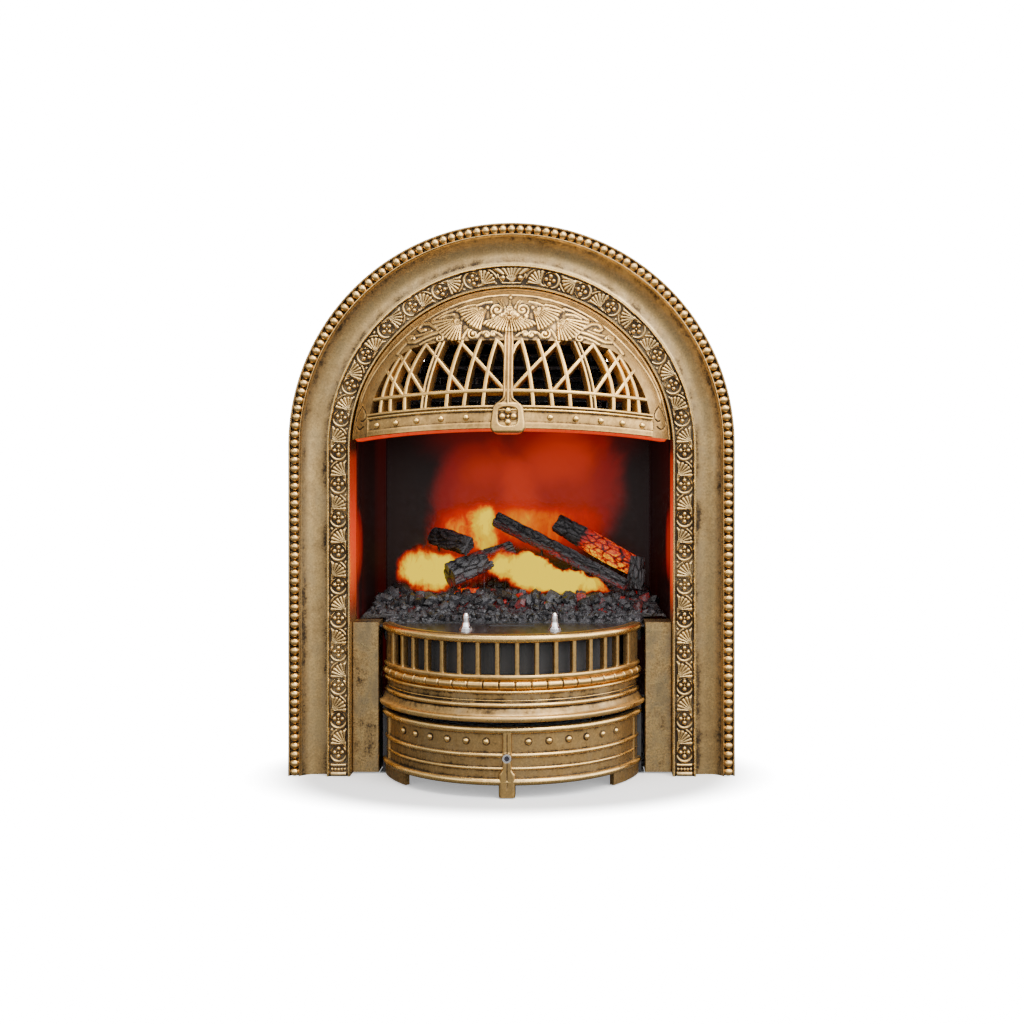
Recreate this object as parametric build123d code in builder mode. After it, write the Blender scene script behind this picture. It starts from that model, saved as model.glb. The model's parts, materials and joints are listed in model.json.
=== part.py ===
"""Arched water vapour electric fireplace: antique brass front, mist drawer, fuel bed and fan heater.

Frame: +X right, +Y back, +Z up, millimetres. The origin is at hearth level, in the middle of the
width, on the wall plane: the back of the arched surround. Everything ahead of the wall has Y < 0.
"""

from math import asin, cos, degrees, pi, radians, sin, sqrt
import os

from build123d import *

os.makedirs("parts", exist_ok=True)

# Driving sizes of the front
outer_radius = 257.0  # half the width of the surround, and the radius of its arch
outer_spring = 379.0  # height where the outer mouldings turn into the arch
strip_spring = 376.0  # the ornament strip and the hood spring a little lower
opening_radius = 185.0  # half the width of the fire opening
strip_outer = 212.0  # outside of the ornament strip
front_face = -28.0  # proudest flat of the surround
return_depth = 20.0  # how far the surround's inner wall reaches behind the wall plane
cast_wall = 5.0
cheek_face = -12.0  # front of the plain cheeks beside the grate
cheek_inner = 154.0
cheek_top = 175.0
gap = 0.4  # working clearance between separate castings

arch_flats = 22  # flats that stand for the half circle of the arch

# The bow front: every curved rail turns about one upright axis
bow_y = 27.0
bow_radius = 155.0
bow_panel = 149.0  # face of the flat bands between the rails
bow_end = degrees(asin(150.0 / bow_radius))  # half angle where the bow meets the cheeks
bow_flats = 16  # flats that stand for the bow's curve
bow_cut = -13.0  # the bow castings stop at this plane, just clear of the cheeks

# Chassis behind the wall plane
chassis_half = 190.0
chassis_depth = 195.0
chassis_top = 545.0
sheet = 1.2
shelf_z = 84.0  # underside of the shelf between the drawer bay and the fuel bed
deck_z = 172.0  # top of the glossy deck behind the grate
ceiling_z = 404.0  # plate between the firebox and the heater


def write(builder, name):
    """Labels a finished piece and writes its STEP."""
    builder.part.label = name
    export_step(builder.part, f"parts/{name}.step")


def bow_place(radius, angle, z):
    """Place on the bow at an angle from straight ahead, with local Z pointing outwards."""
    a = radians(angle)
    out = Vector(sin(a), -cos(a), 0)
    return Plane(origin=Vector(0, bow_y, z) + out * radius, x_dir=(cos(a), sin(a), 0), z_dir=out)


def trim_behind(y_limit):
    """Cuts away whatever of the part being built lies behind a plane across the bow."""
    with Locations((0, y_limit + 200, 300)):
        Box(800, 400, 800, mode=Mode.SUBTRACT)


def ringed_body(rings):
    """Closed body of flat triangles through rings of points, such as a burnt log."""
    faces = [Face(Wire.make_polygon(rings[0])), Face(Wire.make_polygon(rings[-1]))]
    for low, high in zip(rings, rings[1:]):
        for i in range(len(low)):
            faces.append(Face(Wire.make_polygon([low[i - 1], low[i], high[i]])))
            faces.append(Face(Wire.make_polygon([low[i - 1], high[i], high[i - 1]])))
    return Solid(Shell(faces))


def skinned_body(rings):
    """Closed body of flat four-sided faces through rings of points, with flat ends."""
    faces = [Face(Wire.make_polygon(rings[0])), Face(Wire.make_polygon(rings[-1]))]
    for low, high in zip(rings, rings[1:]):
        for i in range(len(low)):
            faces.append(Face(Wire.make_polygon([low[i - 1], low[i], high[i], high[i - 1]])))
    return Solid(Shell(faces))


def flat_sided(profile, sides):
    """Small turned form of few flat sides, on the local Z axis, from its (radius, height) outline."""
    turns = [2 * pi * (i + 0.5) / sides for i in range(sides)]
    return skinned_body([[Vector(r * cos(t), r * sin(t), height) for t in turns] for r, height in profile])


def pointed(radius, height, sides):
    """Pointed bead of few flat sides, on the local Z axis."""
    turns = [2 * pi * (i + 0.5) / sides for i in range(sides)]
    ring = [Vector(radius * cos(t), radius * sin(t), 0) for t in turns]
    tip = Vector(0, 0, height)
    slopes = [Face(Wire.make_polygon([ring[i - 1], ring[i], tip])) for i in range(sides)]
    return Solid(Shell([Face(Wire.make_polygon(ring))] + slopes))


def arch_body(section, spring):
    """Carries a (radius, y) section up one leg, round the arch and down the other leg."""
    rings = [[Vector(-r, y, 0) for r, y in section]]
    for i in range(arch_flats + 1):
        turn = pi * (1 - i / arch_flats)
        rings.append([Vector(r * cos(turn), y, spring + r * sin(turn)) for r, y in section])
    rings.append([Vector(r, y, 0) for r, y in section])
    return skinned_body(rings)


def bow_body(section, first=0, last=bow_flats):
    """Carries a (radius, z) section round the bow, from one of its flats to another."""
    rings = []
    for i in range(first, last + 1):
        turn = radians(bow_end * (2 * i / bow_flats - 1))
        rings.append([Vector(r * sin(turn), bow_y - r * cos(turn), z) for r, z in section])
    return skinned_body(rings)


def flats_of_arc(centre, radii, start, end, flats):
    """Points along an arc or quarter ellipse of a section, drawn in a few flats."""
    turns = [radians(start + (end - start) * i / flats) for i in range(flats + 1)]
    return [
        (round(centre[0] + radii[0] * cos(t), 4), round(centre[1] + radii[1] * sin(t), 4))
        for t in turns
    ]


def roll(radius, z, size, reach=0.0):
    """Half-round moulding of a bow section, in flats, with its back sunk into the band behind."""
    front = flats_of_arc((radius + reach, z), (size, size), -90, 90, 3)
    return [(radius - 1.5, z - size)] + front + [(radius - 1.5, z + size)]


# Surround: a thin casting with a bead channel, a hollow cove and a raised strip
boss_x = 198.2
boss_heights = (60.0, 230.0, 385.0)
cove = flats_of_arc((220.5, -42.0), (28.06, 28.06), 36, 117, 5)
moulding_section = [
    (207.8, -9.0), (outer_radius - cast_wall, -9.0), (outer_radius - cast_wall, 0.0),
    (outer_radius, 0.0), (outer_radius, -25.0), (254.8, -25.0), (254.8, -20.0), (244.8, -20.0),
    (244.8, -25.5), *cove,
]
strip_section = [
    (opening_radius, return_depth), (opening_radius, front_face), (187.8, front_face),
    (187.8, -25.0), (209.4, -25.0), (209.4, front_face), (strip_outer, front_face),
    (strip_outer, -1.6), (strip_outer - cast_wall, -1.6), (strip_outer - cast_wall, -20.0),
    (opening_radius + cast_wall, -20.0), (opening_radius + cast_wall, return_depth),
]
with BuildPart() as arch_surround:
    add([arch_body(moulding_section, outer_spring), arch_body(strip_section, strip_spring)])
    # bosses behind the strip that take the fixing screws
    boss_places = [(side * boss_x, z) for side in (-1, 1) for z in boss_heights]
    with BuildSketch(Plane.XZ.offset(1.6)):
        with Locations(*boss_places):
            RegularPolygon(4.8, 8)
    extrude(amount=20.0)
    with BuildSketch(Plane.XZ.offset(1.6)):
        with Locations(*boss_places):
            RegularPolygon(2.2, 6)
    extrude(amount=14.0, mode=Mode.SUBTRACT)
write(arch_surround, "arch_surround")

# Pearl border: a row of beads along the channel
pearl_radius = 249.8
pearl_count = 155
pearl_foot, pearl_height = 4.4, 7.2
pearl_path = 2 * outer_spring + pi * pearl_radius


def pearl_place(run):
    """Place of a bead, by its distance along the border from the lower left end."""
    turn = (run - outer_spring) / pearl_radius
    x, z = pearl_radius, pearl_path - run
    if turn < 0:
        x, z = -pearl_radius, run
    elif turn < pi:
        x, z = -pearl_radius * cos(turn), outer_spring + pearl_radius * sin(turn)
    return Plane(origin=(x, -20.1, z), x_dir=(1, 0, 0), z_dir=(0, -1, 0)).location


with BuildPart() as pearl_border:
    pearl = pointed(pearl_foot, pearl_height, 5)
    pitch = pearl_path / pearl_count
    add([pearl.moved(pearl_place((i + 0.5) * pitch)) for i in range(pearl_count)])
write(pearl_border, "pearl_border")

# Plain cheeks: folded blocks, open at the back and below
cheek_outer = opening_radius - gap
cheek_floor = 1.8
for side, name in ((-1, "cheek_left"), (1, "cheek_right")):
    with BuildPart() as cheek:
        middle = (side * (cheek_inner + cheek_outer) / 2, (cheek_face + return_depth) / 2)
        with Locations((*middle, (cheek_floor + cheek_top) / 2)):
            Box(cheek_outer - cheek_inner, return_depth - cheek_face, cheek_top - cheek_floor)
        back = cheek.faces().sort_by(Axis.Y)[-1]
        below = cheek.faces().sort_by(Axis.Z)[0]
        offset(amount=-2.5, openings=[back, below])
        chamfer(cheek.edges().filter_by(Axis.Z).group_by(Axis.Y)[0], 0.8)
    write(cheek, name)

# Hood: a domed grille, part of a spheroid about the arch's centre
hood_radius = opening_radius - gap
hood_bulge = 95.0
hood_back = -14.0
hood_wall = 7.0
hood_low_end, hood_low_mid = 383.0, 398.4  # its arched lower edge
band_proud = 2.2
rib_width, main_rib_width = 4.6, 7.2
main_rib = 3  # the double rib

# Ribs and diagonals of the lattice on the left half, as points of the front view (x, z)
lattice_ribs = [
    ((-144.0, 424.0), (-136.0, 457.0), (-124.0, 479.0)),
    ((-132.5, 420.0), (-126.7, 459.0), (-111.0, 488.0)),
    ((-115.5, 420.0), (-109.0, 464.0), (-93.0, 497.0)),
    ((-93.8, 420.0), (-88.3, 456.0), (-73.5, 499.0)),
    ((-68.0, 420.0), (-62.2, 465.0), (-51.5, 499.0)),
    ((-48.5, 420.0), (-41.5, 466.0), (-31.5, 499.0)),
    ((-27.5, 420.0), (-21.5, 468.0), (-13.5, 499.0)),
]
lattice_diagonals = [
    ((-143.5, 469.5), (-117.5, 433.5)),
    ((-129.0, 489.0), (-92.5, 434.0)),
    ((-98.0, 498.0), (-46.0, 436.0)),
    ((-58.0, 499.0), (-1.0, 438.0)),
]


def dome_y(x, z):
    """Y of the hood's outer surface behind a point of the front view."""
    return hood_back - hood_bulge * sqrt(1 - (x * x + (z - strip_spring) ** 2) / hood_radius**2)


def dome_shell(sectors):
    """The hood's shell in flats, open at the pole, which lies below its lower edge."""
    inner = hood_radius - hood_wall
    rim_y = hood_back + 16.0
    section = [
        *flats_of_arc((0, hood_back), (hood_radius, hood_bulge), 273, 360, 5),
        (hood_radius, rim_y),
        (inner, rim_y),
        *flats_of_arc((0, hood_back), (inner, hood_bulge - hood_wall), 360, 273, 3),
    ]
    rings = []
    for i in range(sectors + 1):
        turn = pi * i / sectors
        rings.append([Vector(r * cos(turn), y, strip_spring + r * sin(turn)) for r, y in section])
    return skinned_body(rings)


def shallow_arch(end, middle, half_width):
    """Points of a shallow arch across the front view, from left to right, in eight flats."""
    shares = [i / 4 - 1 for i in range(9)]
    return [(half_width * s, middle - (middle - end) * s * s) for s in shares]


def hood_rivet(x):
    """Rivet on the hood's lower band, square to the dome."""
    z = 411.4 - 9.3 * (x / 148.0) ** 2
    foot = Vector(x, dome_y(x, z) + 4.0, z)
    outward = Vector(
        x / hood_radius**2, (foot.Y - hood_back) / hood_bulge**2, (z - strip_spring) / hood_radius**2
    )
    head = flat_sided([(4.2, 0.0), (4.2, 4.0), (2.6, 7.0)], 5)
    return head.moved(Plane(origin=foot, z_dir=outward).location)


# Key of the hood: a bar and a plaque that follow the dome's middle line
key_heights = (397.5, 425.0, 448.0, 472.0, 500.0)
with BuildPart() as hood_key:
    with BuildSketch(Plane.YZ.offset(-17)):
        with BuildLine():
            Polyline(
                *[(dome_y(0, z) - band_proud, z) for z in key_heights],
                *[(dome_y(0, z) + 3, z) for z in reversed(key_heights)], close=True,
            )
        make_face()
    extrude(amount=34)
    with BuildSketch(Plane.XZ):
        with BuildLine():
            Polyline(
                (-17.0, 397.5), (-15.0, 425.0), (-3.2, 429.0), (-3.2, 500.0),
                (3.2, 500.0), (3.2, 429.0), (15.0, 425.0), (17.0, 397.5), close=True,
            )
        make_face()
    extrude(amount=160, mode=Mode.INTERSECT)

with BuildPart() as hood:
    add(dome_shell(12))
    with BuildSketch(Plane.XZ.offset(-20)):
        with BuildLine():
            Polyline(*shallow_arch(hood_low_end, hood_low_mid, 200), (200, 300), (-200, 300), close=True)
        make_face()
    extrude(amount=180, mode=Mode.SUBTRACT)
    # lattice cells, and the row of small windows under the curved bar
    with BuildSketch(Plane.XZ):
        with BuildLine():
            Polyline(
                (-143.5, 453.0), (-132.0, 472.0), (-112.0, 487.5), (-78.0, 495.0),
                (78.0, 495.0), (112.0, 487.5), (132.0, 472.0), (143.5, 453.0),
                *reversed(shallow_arch(430.6, 442.6, 149.5)), close=True,
            )
        make_face()
        for side in (-1, 1):
            for i, rib in enumerate(lattice_ribs):
                with BuildLine(mode=Mode.PRIVATE) as stroke:
                    Polyline(*[(-side * x, z) for x, z in rib])
                width = main_rib_width if i == main_rib else rib_width
                trace(stroke.line, line_width=width, mode=Mode.SUBTRACT)
            for start, end in lattice_diagonals:
                with BuildLine(mode=Mode.PRIVATE) as stroke:
                    Line((-side * start[0], start[1]), (-side * end[0], end[1]))
                trace(stroke.line, line_width=rib_width, mode=Mode.SUBTRACT)
        with Locations((0, 470)):
            Rectangle(13, 80, mode=Mode.SUBTRACT)
    extrude(amount=160, mode=Mode.SUBTRACT)
    with BuildSketch(Plane.XZ):
        with BuildLine():
            windows_low = shallow_arch(415.6, 425.2, 147.0)
            windows_high = shallow_arch(425.2, 434.8, 147.0)
            Polyline(*windows_low, *reversed(windows_high), close=True)
        make_face()
        for side in (-1, 1):
            for foot, middle, top in lattice_ribs:
                with Locations((-side * (foot[0] - 0.4), 424)):
                    Rectangle(rib_width, 40, mode=Mode.SUBTRACT)
        with Locations((0, 430)):
            Rectangle(36, 40, mode=Mode.SUBTRACT)
    extrude(amount=160, mode=Mode.SUBTRACT)
    rivet_xs = (46.0, 74.0, 101.5, 125.5, 148.0)
    add([hood_key.part] + [hood_rivet(side * x) for side in (-1, 1) for x in rivet_xs])
    # lugs that carry the hood on the outlet's frame
    with BuildSketch(Plane.XZ):
        for angle in (30, 90, 150):
            lug = (174.0 * cos(radians(angle)), strip_spring + 174.0 * sin(radians(angle)))
            with Locations(lug):
                Rectangle(9, 14, rotation=angle)
    extrude(amount=-15)
write(hood, "hood")

# Louvred heater outlet, seen through the hood's lattice
outlet_radius = 165.0
outlet_low = 409.0
slat_pitch = 13.5
with BuildPart() as outlet_louvre:
    with BuildSketch(Plane.YZ.offset(-outlet_radius)):
        for i in range(9):
            with BuildLine():
                Line((4.0, 418.0 + i * slat_pitch), (14.0, 424.0 + i * slat_pitch))
            trace(line_width=sheet)
    extrude(amount=2 * outlet_radius)
    with BuildSketch(Plane.XZ):
        with Locations((0, strip_spring)):
            RegularPolygon(outlet_radius - 1, 18)
        with Locations((0, outlet_low - 200)):
            Rectangle(400, 400, mode=Mode.SUBTRACT)
    extrude(amount=-20, mode=Mode.INTERSECT)
    with BuildSketch(Plane.XZ.offset(-5)):
        with Locations((0, strip_spring)):
            RegularPolygon(outlet_radius, 18)
            RegularPolygon(outlet_radius - 9, 18, mode=Mode.SUBTRACT)
        with Locations((0, outlet_low + 4)):
            Rectangle(2 * outlet_radius - 8, 8)
        with Locations((0, outlet_low - 200)):
            Rectangle(400, 400, mode=Mode.SUBTRACT)
    extrude(amount=2)
write(outlet_louvre, "outlet_louvre")

# Grate: a bowed casting of upright bars between moulded rails
bar_count = 14
bar_pitch = 8.2
top_rail = [
    (143.0, 172.4), (143.0, 176.0), (150.5, 176.0), (150.5, 166.8), (146.0, 166.8), (146.0, 172.4),
]
foot_rail = [
    (145.4, 112.3), (152.4, 112.3), (152.4, 115.9), (149.4, 115.9), (149.4, 127.5), (153.0, 127.5),
    (153.0, 132.5), (145.4, 132.5),
]
grate_block = [(143.6, 130.5), (151.6, 130.5), (151.6, 168.5), (143.6, 168.5)]
block_flats = 2
with BuildPart() as grate:
    add([
        *[bow_body(s) for s in (top_rail, foot_rail, roll(150.6, 171.4, 4.6), roll(150.6, 121.6, 4.3))],
        bow_body(grate_block, 0, block_flats),
        bow_body(grate_block, bow_flats - block_flats, bow_flats),
    ])
    for i in range(bar_count):
        with BuildSketch(bow_place(143.6, (i - (bar_count - 1) / 2) * bar_pitch, 149.5)):
            Rectangle(5.4, 38.0)
        extrude(amount=8.8)
    trim_behind(bow_cut)
write(grate, "grate")

# Black sheet behind the bars, folded round the bow
with BuildPart() as grate_backing:
    with BuildSketch(Plane.XY.offset(shelf_z + 2 * sheet)):
        with BuildLine():
            Polyline(*flats_of_arc((0, bow_y), (139.0, 139.0), 270 - 70, 270 + 70, 9))
        trace(line_width=sheet)
    extrude(amount=82)
write(grate_backing, "grate_backing")

# Ledge band: frieze, bead moulding and the sloping ledge over the drawer
ledge_section = [
    (146.0, 82.5), (157.4, 82.5), (158.4, 83.8), (158.4, 87.6), (151.0, 96.8), (bow_panel, 96.8),
    (bow_panel, 112.0), (146.0, 112.0),
]
with BuildPart() as ledge_band:
    add([bow_body(ledge_section), bow_body(roll(150.0, 99.6, 2.8))])
    trim_behind(bow_cut)
write(ledge_band, "ledge_band")

# Drawer front: a fret with round studs, feet and a central key
key_half = 5.0
eye_z = 44.0
stud_pitch = 8.8
fret_band = [(146.0, 13.6), (bow_panel, 13.6), (bow_panel, 76.4), (146.0, 76.4)]
fret_rolls = [
    roll(150.0, 73.5, 3.8, 1.4), roll(149.6, 45.9, 2.6),
    roll(149.4, 31.4, 2.0), roll(150.0, 17.4, 3.8, 1.0),
]
fret_foot = [(146.0, 1.0), (152.0, 1.0), (152.0, 14.2), (146.0, 14.2)]
foot_flats = 3
with BuildPart() as drawer_fret:
    add([
        *[bow_body(section) for section in (fret_band, *fret_rolls)],
        bow_body(fret_foot, 0, foot_flats),
        bow_body(fret_foot, bow_flats - foot_flats, bow_flats),
    ])
    stud = flat_sided([(6.2, 0.0), (3.4, 4.6)], 6)
    stud_turns = [side * i * stud_pitch for side in (-1, 1) for i in range(1, 7)]
    add([stud.moved(bow_place(bow_panel - 1.0, turn, 60.4).location) for turn in stud_turns])
    trim_behind(bow_cut)
    with BuildSketch(Plane.XZ.offset(119.4)):
        with BuildLine():
            Polyline(
                (-9.0, 1.0), (9.0, 1.0), (9.0, 25.0), (key_half, 31.0), (key_half, 70.5),
                (-key_half, 70.5), (-key_half, 31.0), (-9.0, 25.0), close=True,
            )
        make_face()
    extrude(amount=8.6)
    with BuildSketch(Plane.XZ.offset(110)):
        with Locations((0, eye_z)):
            RegularPolygon(3.9, 8)
    extrude(amount=20, mode=Mode.SUBTRACT)
write(drawer_fret, "drawer_fret")

# Remote control eye: chrome bezel on a shank, and its dark lens
eye_place = Plane(origin=(0, 0, eye_z), x_dir=(1, 0, 0), z_dir=(0, -1, 0))
with BuildPart() as eye_bezel:
    with BuildSketch(eye_place.offset(112)):
        RegularPolygon(3.5, 8)
    extrude(amount=16.1)
    with BuildSketch(eye_place.offset(128.1)):
        RegularPolygon(4.8, 16)
    extrude(amount=2.9)
    with BuildSketch(eye_place.offset(129)):
        RegularPolygon(3.1, 12)
    extrude(amount=3, mode=Mode.SUBTRACT)
write(eye_bezel, "eye_bezel")

with BuildPart() as eye_lens:
    with BuildSketch(eye_place.offset(129.1)):
        RegularPolygon(2.8, 12)
    extrude(amount=1.3)
write(eye_lens, "eye_lens")

# Drawer: tray on two runners, with arms to the bowed fret
tray_half = 100.0
tray_front, tray_back = -78.0, 150.0
tray_floor = 12.0
with BuildPart() as drawer_tray:
    with Locations((0, (tray_front + tray_back) / 2, tray_floor + 14)):
        Box(2 * tray_half, tray_back - tray_front, 28)
    offset(amount=-1.5, openings=drawer_tray.faces().sort_by(Axis.Z)[-1])
    with Locations((0, tray_front + 0.75, 38)):
        Box(2 * tray_half, 1.5, 52)
    for side in (-1, 1):
        with Locations((side * 60, tray_front - 17, 38)):
            Box(12, 34.5, 40)
        with Locations((side * 96, (tray_front + tray_back) / 2, tray_floor - 0.7)):
            Box(8, tray_back - tray_front - 20, 1.4)
    with BuildSketch(Plane.XY):
        with Locations((0, bow_y)):
            RegularPolygon(145.2, 36)
        with Locations((0, tray_back + 60)):
            Rectangle(240, 240)
    extrude(amount=80, mode=Mode.INTERSECT)
write(drawer_tray, "drawer_tray")

for side, name in ((-1, "runner_left"), (1, "runner_right")):
    with BuildPart() as runner:
        with BuildSketch(Plane.XZ.offset(8)):
            with BuildLine():
                Polyline((side * 90.0, 9.4), (side * 102.2, 9.4), (side * 102.2, 34.0))
            trace(line_width=1.5)
            with Locations((side * 96.0, 5.3)):
                Rectangle(1.5, 7.5)
        extrude(amount=-184)
    write(runner, name)

# Water tank with a sunk handle and a filler cap
tank_top = 66.0
tank_floor = 13.8
cap_x, cap_y = 58.0, -28.0
with BuildPart() as water_tank:
    with Locations((0, -18, (tank_top + tank_floor) / 2)):
        Box(184, 108, tank_top - tank_floor)
    chamfer(water_tank.edges().filter_by(Axis.Z), 8)
    chamfer(water_tank.faces().sort_by(Axis.Z)[-1].edges(), 3)
    with BuildSketch(Plane.XY.offset(tank_top)):
        with Locations((-20, -18)):
            Rectangle(90, 30)
    extrude(amount=-14, mode=Mode.SUBTRACT)
    with BuildSketch(Plane.XY.offset(tank_top)):
        with Locations((-20, -18)):
            Rectangle(20, 30)
    extrude(amount=-5)
    with BuildSketch(Plane.XY.offset(tank_top)):
        with Locations((cap_x, cap_y)):
            RegularPolygon(9, 12)
    extrude(amount=2)
write(water_tank, "water_tank")

with BuildPart() as tank_cap:
    with BuildSketch(Plane.XY.offset(tank_top + 0.4)):
        with Locations((cap_x, cap_y)):
            RegularPolygon(13, 16)
    extrude(amount=8.4)
    chamfer(tank_cap.faces().sort_by(Axis.Z)[-1].edges(), 1.4)
    with BuildSketch(Plane.XY.offset(tank_top)):
        with Locations((cap_x, cap_y)):
            RegularPolygon(9.5, 12)
    extrude(amount=2.3, mode=Mode.SUBTRACT)
write(tank_cap, "tank_cap")

# Mist sump behind the tank, with the transducer block in its water
lamp_xs = (-54, -18, 18, 54)
with BuildPart() as mist_sump:
    with Locations((0, 93, (tank_floor + 60) / 2)):
        Box(184, 102, 60 - tank_floor)
    chamfer(mist_sump.edges().filter_by(Axis.Z), 6)
    offset(amount=-2.5, openings=mist_sump.faces().sort_by(Axis.Z)[-1])
write(mist_sump, "mist_sump")

with BuildPart() as transducer_block:
    with Locations((0, 89, 20.8)):
        Box(150, 34, 8.5)
    chamfer(transducer_block.edges().filter_by(Axis.Z), 5)
    with BuildSketch(Plane.XY.offset(25.05)):
        with Locations(*[(x, 89) for x in lamp_xs]):
            RegularPolygon(10, 8)
    extrude(amount=-3, mode=Mode.SUBTRACT)
write(transducer_block, "transducer_block")

# Mist duct from the sump up to the fuel bed, with the lamps inside it
duct_half, duct_front, duct_back = 80.0, 70.0, 108.0
duct_foot, duct_top = 64.0, 150.0
with BuildPart() as mist_duct:
    with Locations((0, (duct_front + duct_back) / 2, (duct_foot + duct_top) / 2)):
        Box(2 * duct_half, duct_back - duct_front, duct_top - duct_foot)
    ends = mist_duct.faces().sort_by(Axis.Z)
    offset(amount=-sheet, openings=[ends[0], ends[-1]])
    with BuildSketch(Plane.XY.offset(shelf_z + sheet + 0.2)):
        with Locations((0, 89)):
            Rectangle(2 * duct_half + 16, 54)
            Rectangle(2 * duct_half - 1, duct_back - duct_front - 1, mode=Mode.SUBTRACT)
    extrude(amount=sheet)
write(mist_duct, "mist_duct")

with BuildPart() as lamp_bar:
    with Locations((0, 89, 100)):
        Box(2 * duct_half - 2 * sheet - gap, 10, 3)
    cup = flat_sided([(6.5, 0.0), (10.5, 16.0)], 8)
    hollow = flat_sided([(4.5, 3.0), (9.5, 16.1)], 8)
    add([cup.moved(Location((x, 89, 101))) for x in lamp_xs])
    add([hollow.moved(Location((x, 89, 101))) for x in lamp_xs], mode=Mode.SUBTRACT)
write(lamp_bar, "lamp_bar")

# Deck behind the grate, with its two lift knobs
deck_radius = 142.2
knob_x, knob_y = 50.0, -54.0
with BuildPart() as front_deck:
    with BuildSketch(Plane.XY.offset(deck_z)):
        with Locations((0, bow_y)):
            RegularPolygon(deck_radius, 36)
        with Locations((0, 189)):
            Rectangle(400, 400, mode=Mode.SUBTRACT)
        with Locations((0, -3.5)):
            Rectangle(2 * cheek_inner - 1.6, 16)
    extrude(amount=-2)
    with BuildSketch(Plane.XY.offset(deck_z)):
        with Locations((0, -33)):
            Rectangle(52, 44)
    extrude(amount=-1, mode=Mode.SUBTRACT)
write(front_deck, "front_deck")

knob_outline = [
    (7.5, 0.0), (7.5, 1.6), (4.8, 4.2), (3.5, 8.4), (3.5, 13.0), (3.2, 16.2), (1.6, 19.0),
]
for x, name in ((-knob_x, "deck_knob_left"), (knob_x, "deck_knob_right")):
    with BuildPart() as knob:
        add(flat_sided(knob_outline, 10).moved(Location((x, knob_y, deck_z + 0.05))))
    write(knob, name)

# Fuel bed: a moulded ember bed with broken lumps, and the logs lying on it
bed_floor = 152.0
lump_count = 24


def bed_top(y):
    """Height of the ember bed, which rises to the back and flattens out."""
    return 173.0 + 34.0 * (1 - ((157.0 - y) / 151.0) ** 2)


def ember_lump(i):
    """Broken lump of the ember bed, placed by a scatter rule."""
    x, y = -135 + (i * 47) % 271, 20 + (i * 61) % 124
    size = 10 + (i * 5) % 7
    return flat_sided([(size, 0.0), (0.55 * size, 0.62 * size)], 4).moved(
        Location((x, y, bed_top(y) - 2), (6, -9, 37 * i))
    )


with BuildPart() as ember_bed:
    with BuildSketch(Plane.YZ.offset(-200)):
        with BuildLine():
            ridge = [(y, bed_top(y)) for y in (6.0, 34.0, 66.0, 110.0, 157.0)]
            Polyline((6.0, bed_floor), *ridge, (157.0, bed_floor), close=True)
        make_face()
    extrude(amount=400)
    with BuildSketch(Plane.XY):
        with BuildLine():
            Polyline(
                (-150.0, 6.0), (150.0, 6.0), (150.0, 22.0), (181.6, 22.0), (166.2, 157.0),
                (-166.2, 157.0), (-181.6, 22.0), (-150.0, 22.0), close=True,
            )
        make_face()
    extrude(amount=300, mode=Mode.INTERSECT)
    add([ember_lump(i) for i in range(lump_count)])
    # the bed falls away towards both side walls
    with BuildSketch(Plane.XZ):
        for side in (-1, 1):
            with BuildLine():
                Polyline(
                    (side * 130.0, 216.0), (side * 130.0, 260.0), (side * 190.0, 260.0),
                    (side * 190.0, 170.0), close=True,
                )
            make_face()
    extrude(amount=-200, mode=Mode.SUBTRACT)
    # slot that lets the mist and the light through
    with BuildSketch(Plane.XY):
        with Locations((0, 89)):
            SlotOverall(152, 24)
    extrude(amount=300, mode=Mode.SUBTRACT)
    with Locations((0, 89, bed_floor)):
        Box(2 * duct_half + 6, 44, 20, mode=Mode.SUBTRACT)
write(ember_bed, "ember_bed")

# Burnt logs, each by its start, its end, and its radii at the start, the middle and the end
logs = {
    "log_stub": ((-58.0, 62.0, 259.0), (-103.0, 112.0, 266.0), (12.5, 13.5, 11.0)),
    "log_front": ((-78.0, 52.0, 222.0), (-6.0, 98.0, 250.0), (15.5, 15.0, 12.5)),
    "log_back": ((-26.0, 124.0, 286.0), (134.0, 50.0, 212.0), (10.0, 9.6, 7.4)),
    "log_glowing": ((50.0, 134.0, 282.0), (150.0, 104.0, 228.0), (13.0, 14.6, 13.4)),
    "log_char": ((147.0, 66.0, 208.0), (149.0, 74.0, 258.0), (11.0, 12.0, 7.0)),
}
# Upright pins that hold the raised ends over the bed, as shares of the log's length
log_pins = {
    "log_stub": (0.85,), "log_front": (0.55, 0.9), "log_back": (0.36, 0.66), "log_glowing": (0.66, 0.9),
}
log_sides = 9


def log_ring(centre, along, radius, seed):
    """Uneven ring of points square to a log."""
    plane = Plane(origin=centre, z_dir=along)
    ring = []
    for i in range(log_sides):
        turn = 2 * pi * i / log_sides
        reach = radius * (1 + 0.09 * sin(3 * turn + seed) + 0.05 * cos(5 * turn + 2 * seed))
        ring.append(plane.from_local_coords(Vector(reach * cos(turn), reach * sin(turn), 0)))
    return ring


for seed, (name, (start, end, radii)) in enumerate(logs.items()):
    start, end = Vector(*start), Vector(*end)
    rings = []
    for i, radius in enumerate(radii):
        rings.append(log_ring(start + (end - start) * (i / 2), end - start, radius, seed + 0.7 * i))
    pieces = [ringed_body(rings)]
    for share in log_pins.get(name, ()):
        top = start + (end - start) * share
        foot = bed_top(top.Y) + 0.4
        pin = flat_sided([(2.5, 0.0), (2.5, top.Z - foot)], 6)
        pieces.append(pin.moved(Location((top.X, top.Y, foot))))
    with BuildPart() as log:
        add(pieces)
    write(log, name)

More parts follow.
